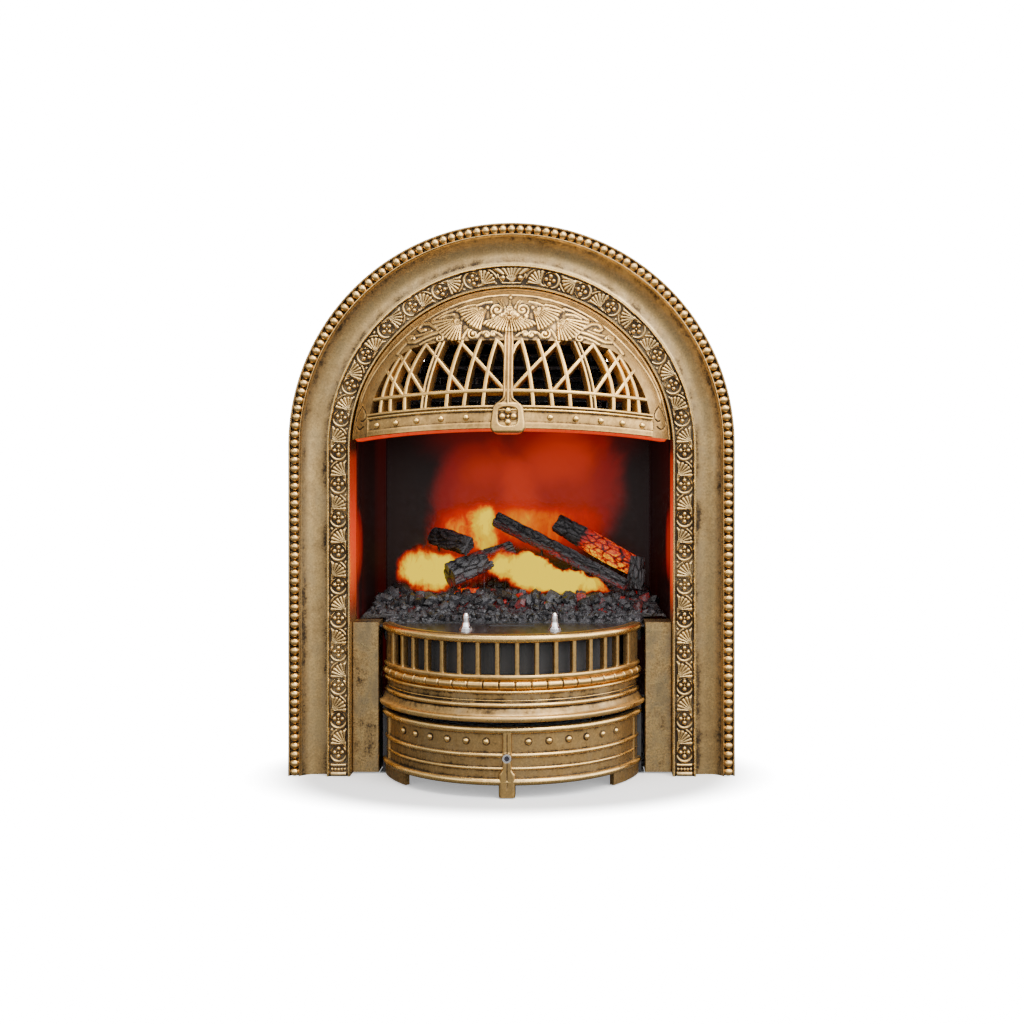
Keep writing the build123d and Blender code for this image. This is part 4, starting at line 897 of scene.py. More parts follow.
def crownHeight(x, z):
    # Relief of the hood's face outside the lattice, in millimetres, the same on both sides.
    a, r = np.abs(x), np.hypot(x, z - front["stripSpring"])
    field = smoothStep(z, 487, 499) * smoothStep(173.4 - r, 0, 1.4) * (1 - smoothStep(a, 86, 104))
    height = -hood["recess"] * field
    for (ax, az), low, high, reach, ribs, growth, begin in crownFans:
        away, turn = np.hypot(a - ax, z - az), np.degrees(np.arctan2(a - ax, az - z))
        # the middle fan opens as it falls, so that its outer ribs curve away from the stem
        high = np.clip(1.15 * away - 1.8, 9, high) if ax == 0 else high
        share = (turn - low) / (high - low)
        within = np.abs((share * ribs % 1) - 0.5) * 2
        rib = np.clip(1 - within ** 2.2, 0, 1) ** 0.6
        edge = reach + growth * np.clip(share, 0, 1) ** 3 + 1.5 * rib
        plain = 1 - smoothStep(away, begin, begin + 9)
        swell = 0.3 + 1.5 * plain * (ax == 0) + 2.4 * rib * (1 - plain)
        swell = swell * (0.55 + 0.45 * smoothStep(edge - away, 0, 1.6))
        height = np.where((away < edge) & (share > 0) & (share < 1) & (swell > height), swell, height)
        height = np.maximum(height, 2.0 * ridge(away, 2.3))
    for halfWidth, rise, line in crownStrokes:
        height = raised(height, strokeDistance(a, z, evenLine(line, 9)), halfWidth, rise)
    for middle, reach, start, turns, sense in crownScrolls:
        scroll = spiralLine(middle, reach, start, turns, sense)
        height = raised(height, strokeDistance(a, z, scroll), 1.35, 2.1)
        height = np.maximum(height, 2.3 * ridge(np.hypot(a - middle[0], z - middle[1]), 1.7))
    # border: a rounded rim, a groove, a plain band and a fine edge line that leads to a long loop below
    lineRadius = 174.0 + 4.0 * smoothStep(-z, -500, -440)
    plain = smoothStep(r - lineRadius, -0.5, 0.4) * smoothStep(z, 424, 436)
    height = np.maximum(height, 0.8 * plain)
    height = np.maximum(height, 1.25 * ridge(r - lineRadius - 0.3, 0.9) * smoothStep(z, 424, 432))
    height = height - 1.3 * ridge(r - 180.4, 0.9)
    loop = [
        (168.2, 424), (172.8, 417.5), (175.8, 410), (176.2, 403), (173.4, 398.4), (169.4, 397.6),
        (165.6, 401),
    ]
    hook = [(168.2, 424), (164.2, 418.5), (162.6, 414), (163.6, 409.5), (166.6, 406.8), (169.4, 407.4)]
    for line in (loop, hook):
        height = height - 0.9 * carved(a, z, evenLine(line, 14), 0.8)
    # short upright edge where the riveted band ends
    return height + 0.9 * ridge(a - 159.6, 0.9) * (z > lowEdge(x) + 7) * (z < lowEdge(x) + 19)


def bandHeight(up):
    # Relief across the lower band by the height over its edge: plain edge, rivet channel and two fine rolls.
    edge = 1.3 * smoothStep(up, -0.2, 0.6) * (1 - smoothStep(up, 6.2, 7.2))
    return edge + 1.9 * ridge(up - 20.2, 1.6) + 1.7 * ridge(up - 23.9, 1.7)


def sweepOnHood(shape, line, profile, worn):
    # Carries an (across, height) outline along a line of the front view, square to the dome.
    face, outward = domeAt(line[:, 0], line[:, 1])
    side = unit(np.cross(np.gradient(face, axis=0), outward))
    profile = np.asarray(profile, float)
    ring = face[:, None] + side[:, None] * profile[None, :, :1] + outward[:, None] * profile[None, :, 1:]
    shape.tube(ring, worn)


def addLip(shape, x, edge, outline, worn, lit):
    # A thin strip along a lower edge, from its outline as (rise over the edge, depth off the face).
    shape.tube(np.stack([domeAt(x, edge + rise, depth)[0] for rise, depth in outline], 1), worn, lit)


def ribProfile(width, lift=0.0):
    # A rib's (across, height) outline, which widens to the back, and how worn each of its points is.
    half, deep = width / 2, -hood["wall"]
    right = [(half - 1.1, 0.35 + lift), (half - 0.45, 0.05 + lift), (half, -0.9), (half + 1.3, deep)]
    worn = [0.5, 0.6, 0.95, 0.8]
    return [(-a, h) for a, h in right[::-1]] + [(0, 0.5 + lift)] + right, worn + [0.62] + worn[::-1]


def buildCrown():
    shape = Shape()
    count, rows = hood["crownSteps"] // 2, hood["crownRows"]
    inner = evenLine(crownEdge, count)
    for _ in range(6):
        inner[1:-1] = (inner[:-2] + 2 * inner[1:-1] + inner[2:]) / 4
    low = math.asin((float(lowEdge(184.6)) - front["stripSpring"]) / hood["radius"])
    turn = low + (math.pi / 2 - low) * np.linspace(0, 1, count)
    outer = np.stack([-np.cos(turn), np.sin(turn)], -1) * hood["radius"] + [0, front["stripSpring"]]
    inner, outer = [np.concatenate([side, side[::-1][1:] * [-1, 1]]) for side in (inner, outer)]
    # rows crowd towards the rim, where the dome turns back
    share = np.linspace(0, 1, rows)
    share = share + 0.35 * share * (1 - share)
    flat = inner[:, None] + (outer - inner)[:, None] * share[None, :, None]
    x, z = flat[..., 0], flat[..., 1]
    height = crownHeight(x, z)
    fromRim = hood["radius"] - np.hypot(x, z - front["stripSpring"])
    face = domeAt(x, z, height * smoothStep(fromRim, 0, 0.8))[0]
    worn = 0.42 + 0.74 * standsOut(height) - 0.20 * smoothStep(-height, 0.3, 0.9)
    backShare = np.array([1.0, 0.66, 0.33, 0.0])
    backFlat = inner[:, None] + (outer - inner)[:, None] * backShare[None, :, None]
    backFlat = (backFlat - [0, front["stripSpring"]]) * 0.972 + [0, front["stripSpring"]]
    back = domeAt(backFlat[..., 0], backFlat[..., 1], -hood["wall"])[0]
    rim = np.concatenate([face[:, -1:], back[:, :1]], 1)
    rim[..., 1] = hood["sideY"]
    back[:, -1] = domeAt(inner[:, 0], inner[:, 1], -hood["wall"])[0]
    shape.tube(np.concatenate([face, rim, back], 1), padded(worn, 6, 0.15))
    shape.build("hoodCrown", "appliance", paints["hood_brass"], stands=("hood",), sharp=60)


def buildLattice():
    shape = Shape()
    plain, plainWorn = ribProfile(hood["ribWidth"])
    crossing, crossWorn = ribProfile(hood["ribWidth"] - 0.3, -0.35)
    half, deep = hood["mainRibWidth"] / 2, -hood["wall"]
    # the main ribs are two rolls with a groove between them
    double = [(1.3, deep), (0, -0.6), (-0.5, 0.55), (-1.3, 0.95), (-2.2, 0.7), (-2.8, -0.3)]
    double = [(half + a, h) for a, h in double]
    main = [(-a, h) for a, h in double] + [(0, -0.8)] + double[::-1]
    mainWorn = [0.5, 0.6, 0.95, 0.95, 0.7, 0.25]
    mainWorn = mainWorn + [0.08] + mainWorn[::-1]
    for side in (-1, 1):
        turn = np.array([-side, 1])
        for i, rib in enumerate(hoodRibs):
            line = bendLine(rib, 26) * turn
            sweepOnHood(shape, line, *((main, mainWorn) if i == 3 else (plain, plainWorn)))
        for rib in hoodDiagonals:
            sweepOnHood(shape, evenLine(rib, 20) * turn, crossing, crossWorn)
        hook = evenLine([(-3.0, 479), (-6.0, 488), (-9.5, 493), (-15, 498)], 12)
        sweepOnHood(shape, hook * turn, crossing, crossWorn)
    x = np.linspace(-153, 153, 130)
    bar, barWorn = ribProfile(4.6, 0.7)
    sweepOnHood(shape, np.stack([x, 440 - 9 * (x / 154) ** 2], -1), bar, barWorn)
    # lower band
    x, up = np.linspace(-159.2, 159.2, 380), np.linspace(0, 25.8, 46)
    height = bandHeight(up)[None, :] + 0 * x[:, None]
    height = height + 0.35 * ridge(np.abs(x[:, None]) - 158.6, 0.8)
    z = lowEdge(x)[:, None] + up[None, :]
    face = domeAt(x[:, None], z, height)[0]
    back = domeAt(x[:, None], z[:, [-1, 0]], -hood["wall"])[0]
    shape.tube(np.concatenate([face, back], 1), padded(0.50 + 0.7 * standsOut(height), 2, 0.3))
    # the lower edge turns back and down behind the face, where the fire lights it
    x = np.linspace(-177.5, 177.5, 200)
    lip = [(0.9, -0.5), (-0.2, -0.4), (-2.7, -3.0), (-2.7, -hood["wall"]), (0.9, -hood["wall"])]
    addLip(shape, x, lowEdge(x), lip, 0.3, [0.0, 0.85, 1.0, 0.6, 0.0])
    # rivets along the band
    radius = hood["rivetRadius"]
    points, quads = domeForm([(0, -0.5), (radius + 0.1, -0.5)], radius, 0.4, 2.7, 6, 18)
    x = np.array([side * x for side in (-1, 1) for x in (46.0, 74.0, 101.5, 125.5, 148.0)])
    origins, outward = domeAt(x, 411.4 - 9.3 * (x / 148) ** 2)
    shape.copies(points, quads, origins, axesFrom(outward), 0.15 + 0.85 * smoothStep(points[:, 2], 0.2, 2.4))
    shape.build("hoodLattice", "appliance", paints["hood_brass"], slot="hood_brass", sharp=50)


def buildHoodKey():
    # Key: a plaque with a rounded border round four petals, and a stem of three fine rolls up to the fan.
    foot, middle, top = 393.8, 411.6, 506
    z = np.concatenate([np.linspace(foot, 434, 66), np.linspace(435, top, 66)])
    knots = [(foot, 12.0), (394.6, 15.4), (396.2, 17.8), (399, 19.0), (404, 19.0), (422, 16.6), (425, 14.2),
             (429, 8.6), (431.5, 6.2), (435, 5.5), (498, 5.3), (top, 4.6)]
    half = np.interp(z, *np.array(knots).T)
    across = np.linspace(-1, 1, 57)
    x = half[:, None] * across
    high = np.broadcast_to(z[:, None], x.shape)
    inset = half[:, None] - np.abs(x)
    plaque = 3.0 - 1.5 * (1 - smoothStep(np.minimum(inset, high - foot), -0.4, 2.2))
    square = (np.abs(x) / 11.0) ** 3.2 + (np.abs(high - middle) / 10.4) ** 3.2
    plaque = plaque - 2.0 * (1 - smoothStep(square, 0.8, 1.15))
    for px, pz in ((0, 6.3), (0, -6.3), (6.3, 0), (-6.3, 0)):
        plaque = np.maximum(plaque, 1.0 + 2.7 * ridge(np.hypot(x - px, high - middle - pz), 3.5))
    plaque = np.maximum(plaque, 1.0 + 2.3 * ridge(np.hypot(x, high - middle), 1.7))
    edge = half[:, None] - 1.45
    stem = 0.9 + 2.0 * ridge(np.abs(x) - edge, 1.4) + 1.7 * ridge(x, 1.5)
    blend = smoothStep(high, 424.5, 429)
    height = plaque * (1 - blend) + stem * blend
    height = height * (1 - 0.5 * smoothStep(high, 498, top))
    face = domeAt(x, high, height)[0]
    back = domeAt(x[:, [-1, 0]], high[:, [-1, 0]], -hood["wall"])[0]
    shape = Shape()
    shape.tube(np.concatenate([face, back], 1), padded(0.52 + 0.6 * standsOut(height), 2, 0.4))
    low = np.linspace(-15.6, 15.6, 30)
    lip = [(0.6, 1.0), (-0.2, 0.6), (-2.2, -2.0), (0.6, -4.0)]
    addLip(shape, low, 394.2 + 2.6 * (low / 15.6) ** 6, lip, 0.4, [0.0, 0.55, 0.75, 0.0])
    shape.build("hoodKey", "appliance", paints["hood_brass"], slot="hood_brass", sharp=60)


buildCrown()
buildLattice()
buildHoodKey()
print("stage: hood built")


# Fire: an ember bed of broken char, burnt logs, and the lit mist over them

fire = {
    "bedStep": 1.5, "bedHalf": 181.0, "bedFloor": 152.3, "bedFront": 6.4, "bedBack": 156.6,
    "slotHalf": (70.0, 11.0), "slotY": 89.0,
    "rockCount": 1250, "rockLow": 2.4, "rockHigh": 9.5, "rockForms": 6, "ridgeCount": 30,
    "glowRed": (0.55, 0.008, 0.002), "glowOrange": (0.95, 0.15, 0.002), "glowYellow": (1.2, 0.62, 0.003),
    "charDark": (0.006, 0.006, 0.007), "charGrey": (0.060, 0.058, 0.064), "ash": (0.24, 0.23, 0.25),
    "coalGlow": 1.0, "flameGlow": 1.0, "wallGlow": 0.55,
    "mistRed": (0.34, 0.005, 0.002), "mistScarlet": (0.80, 0.022, 0.002), "mistOrange": (0.95, 0.17, 0.002),
    "mistYellow": (1.05, 0.62, 0.0025), "mistCore": (1.45, 1.02, 0.004),
    "wallDark": (0.010, 0.0012, 0.0008), "wallRed": (0.40, 0.008, 0.002), "wallBright": (0.95, 0.045, 0.003),
}
# Logs: start, end, radii at the start, the middle and the end, where it glows, and where its pins stand
logs = {
    "log_stub": ((-58.0, 62.0, 259.0), (-103.0, 112.0, 266.0), (12.5, 13.5, 11.0), 0.12, (0.85,)),
    "log_front": ((-78.0, 52.0, 222.0), (-6.0, 98.0, 250.0), (15.5, 15.0, 12.5), 0.30, (0.55, 0.9)),
    "log_back": ((-26.0, 124.0, 286.0), (134.0, 50.0, 212.0), (10.0, 9.6, 7.4), 0.38, (0.36, 0.66)),
    "log_glowing": ((50.0, 134.0, 282.0), (150.0, 104.0, 228.0), (13.0, 14.6, 13.4), 1.0, (0.66, 0.9)),
    "log_char": ((147.0, 66.0, 204.0), (149.0, 74.0, 243.0), (12.5, 12.0, 9.0), 0.25, ()),
}


def scatter(points, seed):
    # Repeatable numbers from 0 to 1 for whole-number points: the fraction of a large sine.
    value = np.sin(points @ np.array([127.1, 311.7, 74.7]) + seed * 53.3) * 43758.5453
    return value - np.floor(value)


def cloudy(points, size, seed=0):
    # Smooth noise from 0 to 1: corner values of a lattice blended across each cell.
    scaled = np.asarray(points, float) / size
    base = np.floor(scaled)
    part = scaled - base
    part = part * part * (3 - 2 * part)
    total = 0
    for corner in np.ndindex(2, 2, 2):
        weight = np.prod(np.where(np.array(corner) == 1, part, 1 - part), axis=-1)
        total = total + weight * scatter(base + corner, seed)
    return total


def cells(points, size, seed=0):
    # Distance to the nearest and to the second nearest of scattered points, in cells.
    scaled = np.asarray(points, float) / size
    base = np.floor(scaled)
    nearest = np.full(scaled.shape[:-1], 9.0)
    second = nearest.copy()
    for corner in np.ndindex(3, 3, 3):
        cell = base + corner - 1
        place = cell + np.stack([scatter(cell, seed + i) for i in range(3)], -1)
        away = np.linalg.norm(place - scaled, axis=-1)
        second = np.minimum(second, np.maximum(nearest, away))
        nearest = np.minimum(nearest, away)
    return nearest, second


def bedTop(x, y):
    # Rises to the back, flattens out, and falls away towards both side walls.
    return np.minimum(173 + 34 * (1 - ((157 - y) / 151) ** 2), 216 - 0.7667 * (np.abs(x) - 130))


def bedHalfWidth(y):
    return np.where(y < 22, 149.4, 181.2 - 0.114 * (y - 22))


def buildBedBlock(shape, west, east, south, north):
    # One block of the bed; west and east are shares of its half width.
    u = np.linspace(west, east, max(8, int((east - west) * fire["bedHalf"] / fire["bedStep"])))
    v = np.linspace(south, north, max(8, int((north - south) / fire["bedStep"])))
    x = u[:, None] * bedHalfWidth(v)[None, :]
    y = np.broadcast_to(v, x.shape)
    flat = np.stack([x, y, 0 * x], -1)
    near, second = cells(flat, 13.0, 3)
    fine, fineSecond = cells(flat, 5.0, 8)
    cliff = smoothStep(second - near, 0.0, 0.22)
    lift = 4.2 * cliff * (0.4 + 0.6 * cloudy(flat, 21.0, 5)) - 3.4
    lift = lift + 1.6 * smoothStep(fineSecond - fine, 0, 0.3)
    edge = np.minimum(1, np.minimum(y - south, north - y) / 3 + 0.05)
    top = np.stack([x, y, bedTop(x, y) + lift * edge], -1)
    lit = (1 - cliff) * (0.10 + 0.80 * smoothStep(cloudy(flat, 34.0, 9), 0.48, 0.72)) * smoothStep(y, 14, 40)
    lit = lit * (1 - smoothStep(np.abs(u), 0.80, 0.92))[:, None]
    shape.tube(withUnder(top, 2, fire["bedFloor"]), padded(0.25 + 0.5 * cliff, 2), padded(lit, 2))


def rockForms(count):
    # Angular lumps: a rough ball of few faces, pushed in and out by scattered amounts.
    forms = []
    lean = np.linspace(0, math.pi, 5)
    points, quads = roundForm(np.stack([np.sin(lean), np.cos(lean)], -1), 6)
    for seed in range(count):
        rough = 0.66 + 0.6 * scatter(np.round(points * 50), seed)
        rough = np.where(np.abs(points[:, 2]) > 0.99, 0.85, rough)
        forms.append((points * rough[:, None] * [1.0, 0.82, 0.7], quads))
    return forms


def scatteredIndex(count, strides):
    # Whole-number points for scatter, one for each copy.
    return np.stack([np.arange(count) * stride + start for stride, start in strides], -1)


def turnedAxes(count, seed):
    # Scattered turns, each as three unit axes.
    index = scatteredIndex(count, ((1, 0), (3, 1), (7, 2)))
    first, second = [
        np.stack([scatter(index, seed + start + i) - 0.5 for i in range(3)], -1) for start in (0, 5)
    ]
    first = unit(first)
    third = unit(np.cross(first, second))
    return np.stack([first, np.cross(third, first), third], 1)


def buildBed():
    # Blocks round the slot that the mist rises from.
    shape = Shape()
    south, north, middle = fire["bedFront"], fire["bedBack"], fire["slotY"]
    slotX, slotY = fire["slotHalf"][0] / fire["bedHalf"], fire["slotHalf"][1]
    for block in ((-1, -slotX, south, north), (slotX, 1, south, north),
                  (-slotX, slotX, south, middle - slotY), (-slotX, slotX, middle + slotY, north)):
        buildBedBlock(shape, *block)
    shape.build("emberBed", "fuel_bed", paints["ember"], stands=("ember_bed",), sharp=30)


def buildLumps():
    # Loose lumps of char on the bed, smaller in front, with none in the slot.
    count, ridgeCount = fire["rockCount"], fire["ridgeCount"]
    index = scatteredIndex(count, ((1, 0), (5, 3), (11, 7)))
    share = [scatter(index, seed) for seed in range(21, 26)]
    y = 10 + 144 * share[1] ** 0.85
    x = (share[0] * 2 - 1) * (bedHalfWidth(y) - 7)
    keep = (np.abs(x) >= fire["slotHalf"][0] + 4) | (np.abs(y - fire["slotY"]) >= fire["slotHalf"][1] + 3)
    size = fire["rockLow"] + (fire["rockHigh"] - fire["rockLow"]) * share[2] ** 2.6
    size = np.where(y < 34, size * 0.62, size)
    # a ridge of larger lumps stands in front of the mist
    ridged = slice(0, ridgeCount)
    x[ridged] = np.linspace(-132, 122, ridgeCount) + 5 * (share[0][ridged] - 0.5)
    y[ridged] = 54 + 11 * (share[1][ridged] - 0.5)
    size[ridged] = 6.5 + 5.0 * share[2][ridged]
    keep[ridged] = True
    places = np.stack([x, y, bedTop(x, y) + size * 0.3], -1)
    axes = turnedAxes(count, 40) * size[:, None, None]
    worn = 0.25 + 0.7 * share[4]
    lit = 0.28 * smoothStep(share[3], 0.93, 1.0) * smoothStep(y, 20, 60)
    forms = rockForms(fire["rockForms"])
    shape = Shape()
    for i, (points, quads) in enumerate(forms):
        mine = keep & (np.arange(count) % len(forms) == i)
        shape.copies(points, quads, places[mine], axes[mine], worn[mine][:, None], lit[mine][:, None])
    shape.build("emberLumps", "fuel_bed", paints["ember"], slot="ember", sharp=22)


def buildLog(name, start, end, radii, glow, pins, seed):
    # A burnt log: a round form whose surface is split into char blocks, with broken ends.
    start, axis = np.array(start), np.subtract(end, start)
    length = np.linalg.norm(axis)
    axis = axis / length
    side = np.cross(axis, [0, 0, 1.0])
    side = side / np.linalg.norm(side) if np.linalg.norm(side) > 0.2 else np.array([1.0, 0, 0])
    lift = np.cross(side, axis)
    rows, around = int(length / 0.9), 110
    t = np.concatenate([[0, 0, 0], np.linspace(0, 1, rows), [1, 1, 1]])[:, None]
    rounding = [0.35, 0.7, 0.93, 0.99]
    shrink = np.concatenate([rounding, np.ones(rows - 2), rounding[::-1]])[:, None]
    turn = (np.arange(around) * 2 * math.pi / around)[None, :]
    radius = np.interp(t, [0, 0.5, 1], radii)
    lobes = 0.08 * np.sin(3 * turn + seed + 2 * t) + 0.05 * np.cos(5 * turn + 2 * seed - 3 * t)
    radius = radius * (0.93 + lobes)
    flat = np.stack(np.broadcast_arrays(t * length * 0.42, 13 * np.cos(turn), 13 * np.sin(turn)), -1)
    near, second = cells(flat + seed * 40, 6.2, seed)
    crack = 1 - smoothStep(second - near, 0.0, 0.20)
    bark = cloudy(flat, 4.0, seed + 2) - 0.5
    reach = (radius - 1.3 * crack + 1.1 * bark + 1.3 * (cloudy(flat, 17.0, seed + 4) - 0.5)) * shrink
    jag = 2.8 * (cloudy(flat * [0, 1, 1] + 9, 5.0, seed + 6) - 0.5) * ((t < 0.001) | (t > 0.999))
    along = start + axis * (t * length + jag)[..., None]
    ring = along + (side * np.cos(turn)[..., None] + lift * np.sin(turn)[..., None]) * reach[..., None]
    low = smoothStep(-np.sin(turn + 0 * t), -0.75, 0.7)
    if glow > 0.9:
        lit = smoothStep(t, 0.28, 0.5) * (1 - 0.5 * smoothStep(t, 0.88, 1.0))
        lit = lit * (0.55 + 0.45 * low) * (1 - 0.95 * crack)
    else:
        lit = 0.55 * glow * low * (0.55 + 0.9 * crack) * (0.2 + 0.8 * cloudy(flat, 20.0, seed + 7))
    shape = Shape()
    shape.tube(ring, np.clip(0.75 - 0.7 * crack + 0.5 * bark, 0, 1), lit)
    # thin pins carry the log over the bed
    for share in pins:
        top = start + axis * length * share
        foot = float(bedTop(top[0], top[1])) - 1.5
        points, quads = roundForm([(0, 0), (1.6, 0), (1.6, top[2] - foot), (0, top[2] - foot)], 10)
        shape.add(points + [top[0], top[1], foot], quads, 0.2)
    paint = paints["glowing_log"] if name == "log_glowing" else paints["charred_log"]
    shape.build(name.replace("log_", "log").replace("_", ""), "fuel_bed", paint, stands=(name,), sharp=40)


# Sheets of lit mist: depth, top, how torn, and blobs as (x, z, half width, half height, heat)
mistSheets = {
    "mistYellow": (70.0, 272.0, 1.0, [
        (-106, 226, 38, 27, 1.5), (-84, 232, 18, 18, 0.8), (6, 235, 27, 27, 1.5), (36, 225, 34, 24, 1.35),
        (74, 215, 42, 15, 1.35), (-140, 224, 24, 22, 0.42), (-36, 232, 30, 20, 0.40)]),
    "mistOrange": (128.0, 322.0, 0.75, [
        (-41, 272, 17, 46, 0.82), (-56, 286, 28, 36, 0.44), (-26, 292, 26, 32, 0.34),
        (-88, 258, 28, 30, 0.40)]),
    "mistRed": (144.0, 322.0, 0.35, [
        (-52, 292, 60, 50, 0.44), (52, 296, 66, 52, 0.40), (26, 272, 34, 28, 0.20)]),
}
mistSway = 4.0
# Some mist stays under the long log: height of that roof at x = 0, its fall along x, and its soft edge
mistRoofs = {"mistYellow": (262.0, 0.46, 7.0)}


def softSpot(x, z, spot, reach):
    # An ellipse of light, given as (x, z, half width, half height, strength) in millimetres, that fades
    # to nothing where the squared distance, counted in half widths, comes to reach.
    middleX, middleZ, wide, tall, strength = spot
    away = ((x - middleX * milli) / (wide * milli)) ** 2 + ((z - middleZ * milli) / (tall * milli)) ** 2
    return away.ramp(0.0, reach, strength, 0.0)


def mistPaint(name, top, tear, blobs):
    # Heat is a sum of soft blobs torn by noise; it sets the colour from red to yellow, and the alpha.
    paint = Paint(name + "Glow")
    coarse = paint.noise(21.0, output="Color")
    plainX, plainZ = paint.axis("X"), paint.axis("Z")
    x, z = [
        plain + (paint.node("SeparateColor", None, {"Color": coarse}, output=channel) - 0.5) * 0.05
        for plain, channel in ((plainX, "Red"), (plainZ, "Green"))
    ]
    heat = sum(softSpot(x, z, blob, 1.9) for blob in blobs)
    wisps = paint.noise(34.0, 5.0, 0.6, stretch=(1.0, 1.0, 0.45), distortion=1.2)
    curls = paint.noise(70.0, 4.0, 0.6, stretch=(1.0, 1.0, 0.6), distortion=1.6)
    torn = wisps.ramp(0.25, 0.75) * 0.62 + curls.ramp(0.25, 0.75) * 0.50
    heat = heat * (torn * tear + (1.0 - tear * 0.60))
    # the mist fades out before the sheet's edges and under the bed
    heat = heat * (plainX * plainX).ramp(0.0180, 0.0225, 1.0, 0.0) * plainZ.ramp(0.190, 0.204)
    heat = heat * plainZ.ramp((top - 34) * milli, (top - 2) * milli, 1.0, 0.0)
    if name in mistRoofs:
        height, fall, soft = mistRoofs[name]
        heat = heat * (z + x * fall - height * milli).ramp(-soft * milli, 0.0, 1.0, 0.0)
    colour = paint.blend(
        heat, fire["mistRed"], (0.0, 0.42, fire["mistScarlet"]), (0.36, 0.66, fire["mistOrange"]),
        (0.60, 0.95, fire["mistYellow"]), (0.95, 1.4, fire["mistCore"]))
    return paint.surface({
        "Base Color": (0.0, 0.0, 0.0), "Roughness": 1.0, "Specular IOR Level": 0.0,
        "Alpha": heat.ramp(0.05, 0.74, 0.0, 0.97), "Emission Color": colour,
        "Emission Strength": fire["flameGlow"],
    })


def buildMist():
    for number, (name, (depth, top, tear, blobs)) in enumerate(mistSheets.items()):
        x, z = np.meshgrid(np.linspace(-149, 149, 90), np.linspace(188, top, 44), indexing="ij")
        y = depth + mistSway * np.sin(x / 31 + number * 2) * np.cos(z / 47 + number)
        shape = Shape()
        shape.grid(np.stack([x, y, z], -1))
        shape.build(name, "fuel_bed", mistPaint(name, top, tear, blobs), outward=False)


def charPaint(name, patchScale=60.0):
    # Char: black to grey by wear and noise, glossy in places, and hot where it is lit by the coals.
    paint = Paint(name)
    cloud = paint.noise(70.0, 6.0, 0.65)
    fine = paint.noise(420.0, 4.0, 0.7)
    crackle = paint.node(
        "TexVoronoi", {"feature": "DISTANCE_TO_EDGE"}, {"Vector": paint.place(), "Scale": 240.0},
        output="Distance")
    level = paint.attribute("worn") * 0.6 + cloud * 0.5 + (fine - 0.5) * 0.6
    colour = paint.mix(level.ramp(0.35, 0.95), fire["charDark"], fire["charGrey"])
    colour = paint.mix(level.ramp(0.86, 1.12, 0.0, 0.8), colour, fire["ash"])
    patch = paint.noise(patchScale, 4.0, 0.6)
    heat = paint.attribute("lit") * (0.35 + patch * 1.5) * (0.55 + crackle.ramp(0.02, 0.16) * 0.45)
    hot = paint.blend(
        heat, (0.0, 0.0, 0.0), (0.02, 0.35, fire["glowRed"]), (0.38, 0.72, fire["glowOrange"]),
        (0.70, 1.05, fire["glowYellow"]))
    colour = paint.mix(heat.ramp(0.05, 0.30), colour, (0.004, 0.002, 0.002))
    return paint.surface({
        "Base Color": colour, "Roughness": 0.22 + fine * 0.5, "Emission Color": hot,
        "Emission Strength": fire["coalGlow"],
    }, paint.bump(fine * 0.6 + crackle.ramp(0.0, 0.2) * 0.4, 0.7, 0.0006))


def linerPaint():
    # Black gloss with the fire's glow on it: haze over the back wall, long red streaks on the sides.
    paint = Paint("linerGloss")
    x, y, z = [paint.axis(name) for name in "XYZ"]
    torn = paint.noise(11.0, 4.0, 0.55, distortion=0.6) - 0.5
    back = y.ramp(0.150, 0.156)
    hazes = ((-45, 305, 72, 80, 0.80), (58, 325, 80, 95, 0.80), (10, 385, 150, 60, 0.30))
    haze = sum(softSpot(x + torn * 0.06, z + torn * 0.05, spot, 1.3) for spot in hazes)
    # painted firelight: stretched noise lays long red streaks of glow on the side walls
    glowStreaks = paint.noise(26.0, 2.0, 0.4, stretch=(1.0, 1.0, 0.03))
    streaks = glowStreaks.ramp(0.46, 0.66) * (0.12 + y.ramp(0.022, 0.075, 0.55, 0.0))
    beside = streaks + softSpot(y, z, (24, 262, 22, 50, 0.8), 1.0)
    heat = back * haze + (1.0 - back) * beside
    glow = paint.blend(heat, fire["wallDark"], (0.0, 0.6, fire["wallRed"]), (0.55, 1.15, fire["wallBright"]))
    return paint.surface({
        "Base Color": (0.006, 0.005, 0.005), "Roughness": 0.30, "Specular IOR Level": 0.3,
        "Emission Color": glow, "Emission Strength": fire["wallGlow"],
    })


paints["ember"] = charPaint("emberChar", 95.0)
paints["charred_log"] = charPaint("logChar")
paints["glowing_log"] = charPaint("logGlow")
buildBed()
buildLumps()
for seed, (name, values) in enumerate(logs.items(), 1):
    buildLog(name, *values, seed)
buildMist()
print("stage: fire built")

# The plain solids that stay in view get the finish of their slot, and the liner the fire's glow
for name, solid in frame["nodes"].items():
    solid.data.materials.clear()
    solid.data.materials.append(linerPaint() if name == "firebox_liner" else paints[slotOf[name]])
print("stage: solids finished")


# Stage: floor, light and the camera at the photograph's viewing angle

studio = {
    "cameraPlace": (0.077, -1.628, 0.386), "lens": 49.08, "shift": (-0.065, -0.0703), "target": (0, 0, 0.32),
    "floorTone": 0.80, "floorMirrored": 0.07, "floorSeen": 18.0, "backdrop": 18.0, "nearLift": 0.02,
    "room": ((0.43, 0.05), (0.50, 0.12), (0.55, 0.32), (0.62, 0.95), (0.74, 0.80), (0.86, 0.24), (1.0, 0.14)),
    "roomStrength": 4.4, "roomSides": (0.22, 1.62),
}


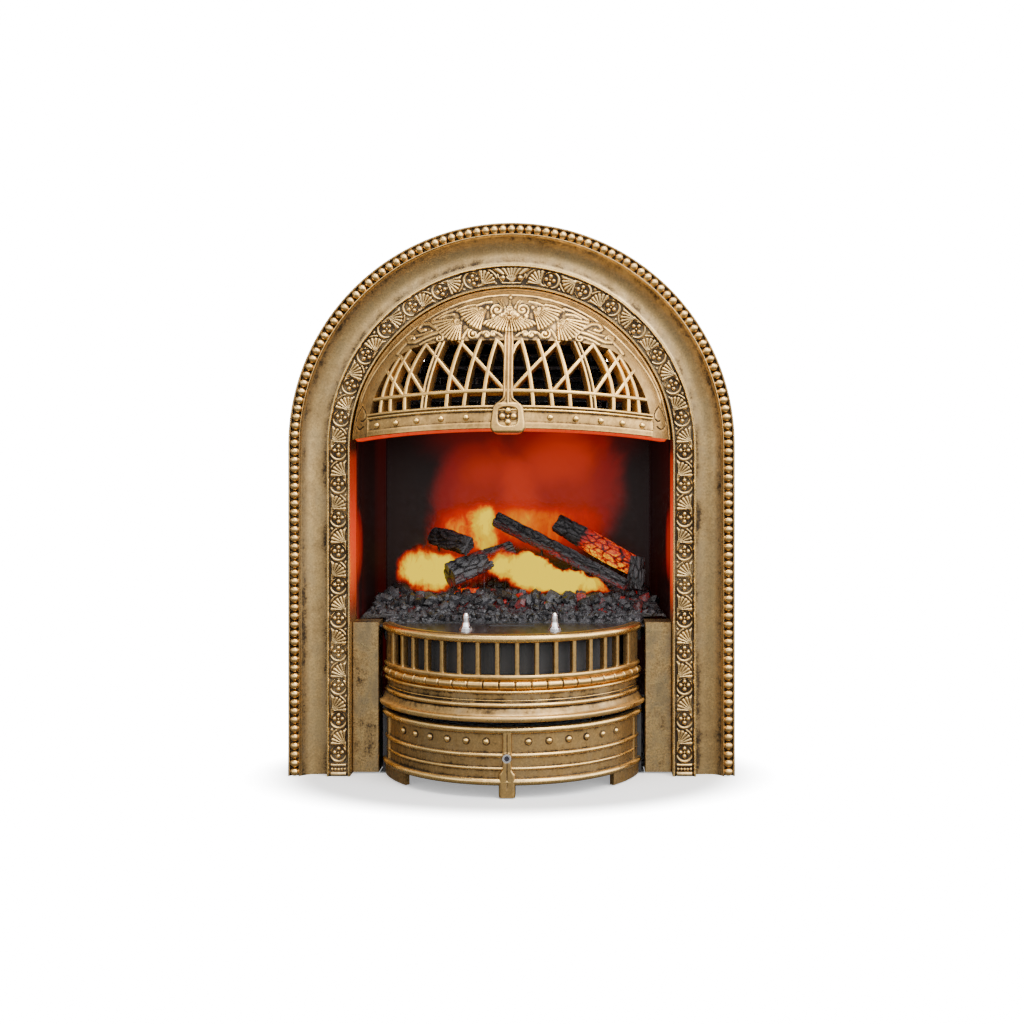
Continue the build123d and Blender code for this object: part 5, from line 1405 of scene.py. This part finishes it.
def addLight(name, place, size, power):
    light = bpy.data.lights.new(name, "AREA")
    light.shape, light.size, light.size_y, light.energy = "RECTANGLE", *size, power
    made = bpy.data.objects.new(name, light)
    bpy.context.collection.objects.link(made)
    made.location = place
    # the light's own -Z axis points at the target
    x, y, z = np.subtract(studio["target"], place)
    made.rotation_euler = (math.atan2(math.hypot(x, y), -z), 0, math.atan2(y, x) - math.pi / 2)


def buildFloor():
    paint = Paint("paleFloor")
    # the camera sees the floor lifted to white, except in a painted shadow round the feet: an ellipse where
    # the lift falls away, so that the real soft shadow also shows there
    seen = paint.node("LightPath", output="Is Camera Ray")
    near = (paint.axis("X") / 0.27) ** 2 + ((paint.axis("Y") + 0.01) / 0.175) ** 2
    lift = seen * near.ramp(0.70, 1.55, studio["nearLift"], 1.0)
    tone = paint.mix(seen, (studio["floorMirrored"],) * 3, (studio["floorTone"],) * 3)
    mesh = bpy.data.meshes.new("floor")
    mesh.from_pydata([(-6, -4, 0), (6, -4, 0), (6, 7, 0), (-6, 7, 0)], [], [(0, 1, 2, 3)])
    glow = paint.mix(lift, (0.0, 0.0, 0.0), (1.0, 1.0, 1.0))
    mesh.materials.append(paint.surface({
        "Base Color": tone, "Roughness": 0.8, "Emission Color": glow,
        "Emission Strength": studio["floorSeen"],
    }))
    made = bpy.data.objects.new("floor", mesh)
    bpy.context.collection.objects.link(made)


def buildRoom():
    # Light from all round, by height and from side to side; the camera sees an even backdrop.
    room = Paint("studio", "worlds")
    facing = room.node("TexCoord", output="Generated")
    x, z = [room.node("SeparateXYZ", None, {"Vector": facing}, output=name) for name in "XZ"]
    stops = [(place, (level,) * 3) for place, level in studio["room"]]
    level = room.node("ValToRGB", {"stops": stops}, {"Fac": z * 0.5 + 0.5})
    left, right = [level * studio["roomStrength"] for level in studio["roomSides"]]
    strength = room.node("MapRange", None, {"Value": x, "From Min": -1.0, "To Min": left, "To Max": right})
    light = room.node("Background", None, {"Color": level, "Strength": strength})
    plain = room.node("Background", None, {"Color": (1, 1, 1, 1), "Strength": studio["backdrop"]})
    seen = room.node("LightPath", output="Is Camera Ray")
    room.node("OutputWorld", None, {"Surface": room.node("MixShader", None, {0: seen, 1: light, 2: plain})})
    bpy.context.scene.world = room.owner


def buildCamera():
    camera = bpy.data.cameras.new("camera")
    camera.lens, camera.sensor_width = studio["lens"], 36.0
    camera.shift_x, camera.shift_y = studio["shift"]
    camera.clip_start, camera.clip_end = 0.05, 50
    eye = bpy.data.objects.new("camera", camera)
    eye.location, eye.rotation_euler = studio["cameraPlace"], (math.pi / 2, 0, 0)
    bpy.context.collection.objects.link(eye)
    bpy.context.scene.camera = eye


buildFloor()
buildRoom()
addLight("keyLight", (1.3, -1.5, 2.3), (1.2, 1.0), 55)
addLight("fillLight", (-2.0, -1.8, 1.1), (0.9, 1.6), 7)
addLight("topLight", (0.1, -0.7, 2.4), (2.0, 0.8), 60)
buildCamera()
print("stage: studio ready")
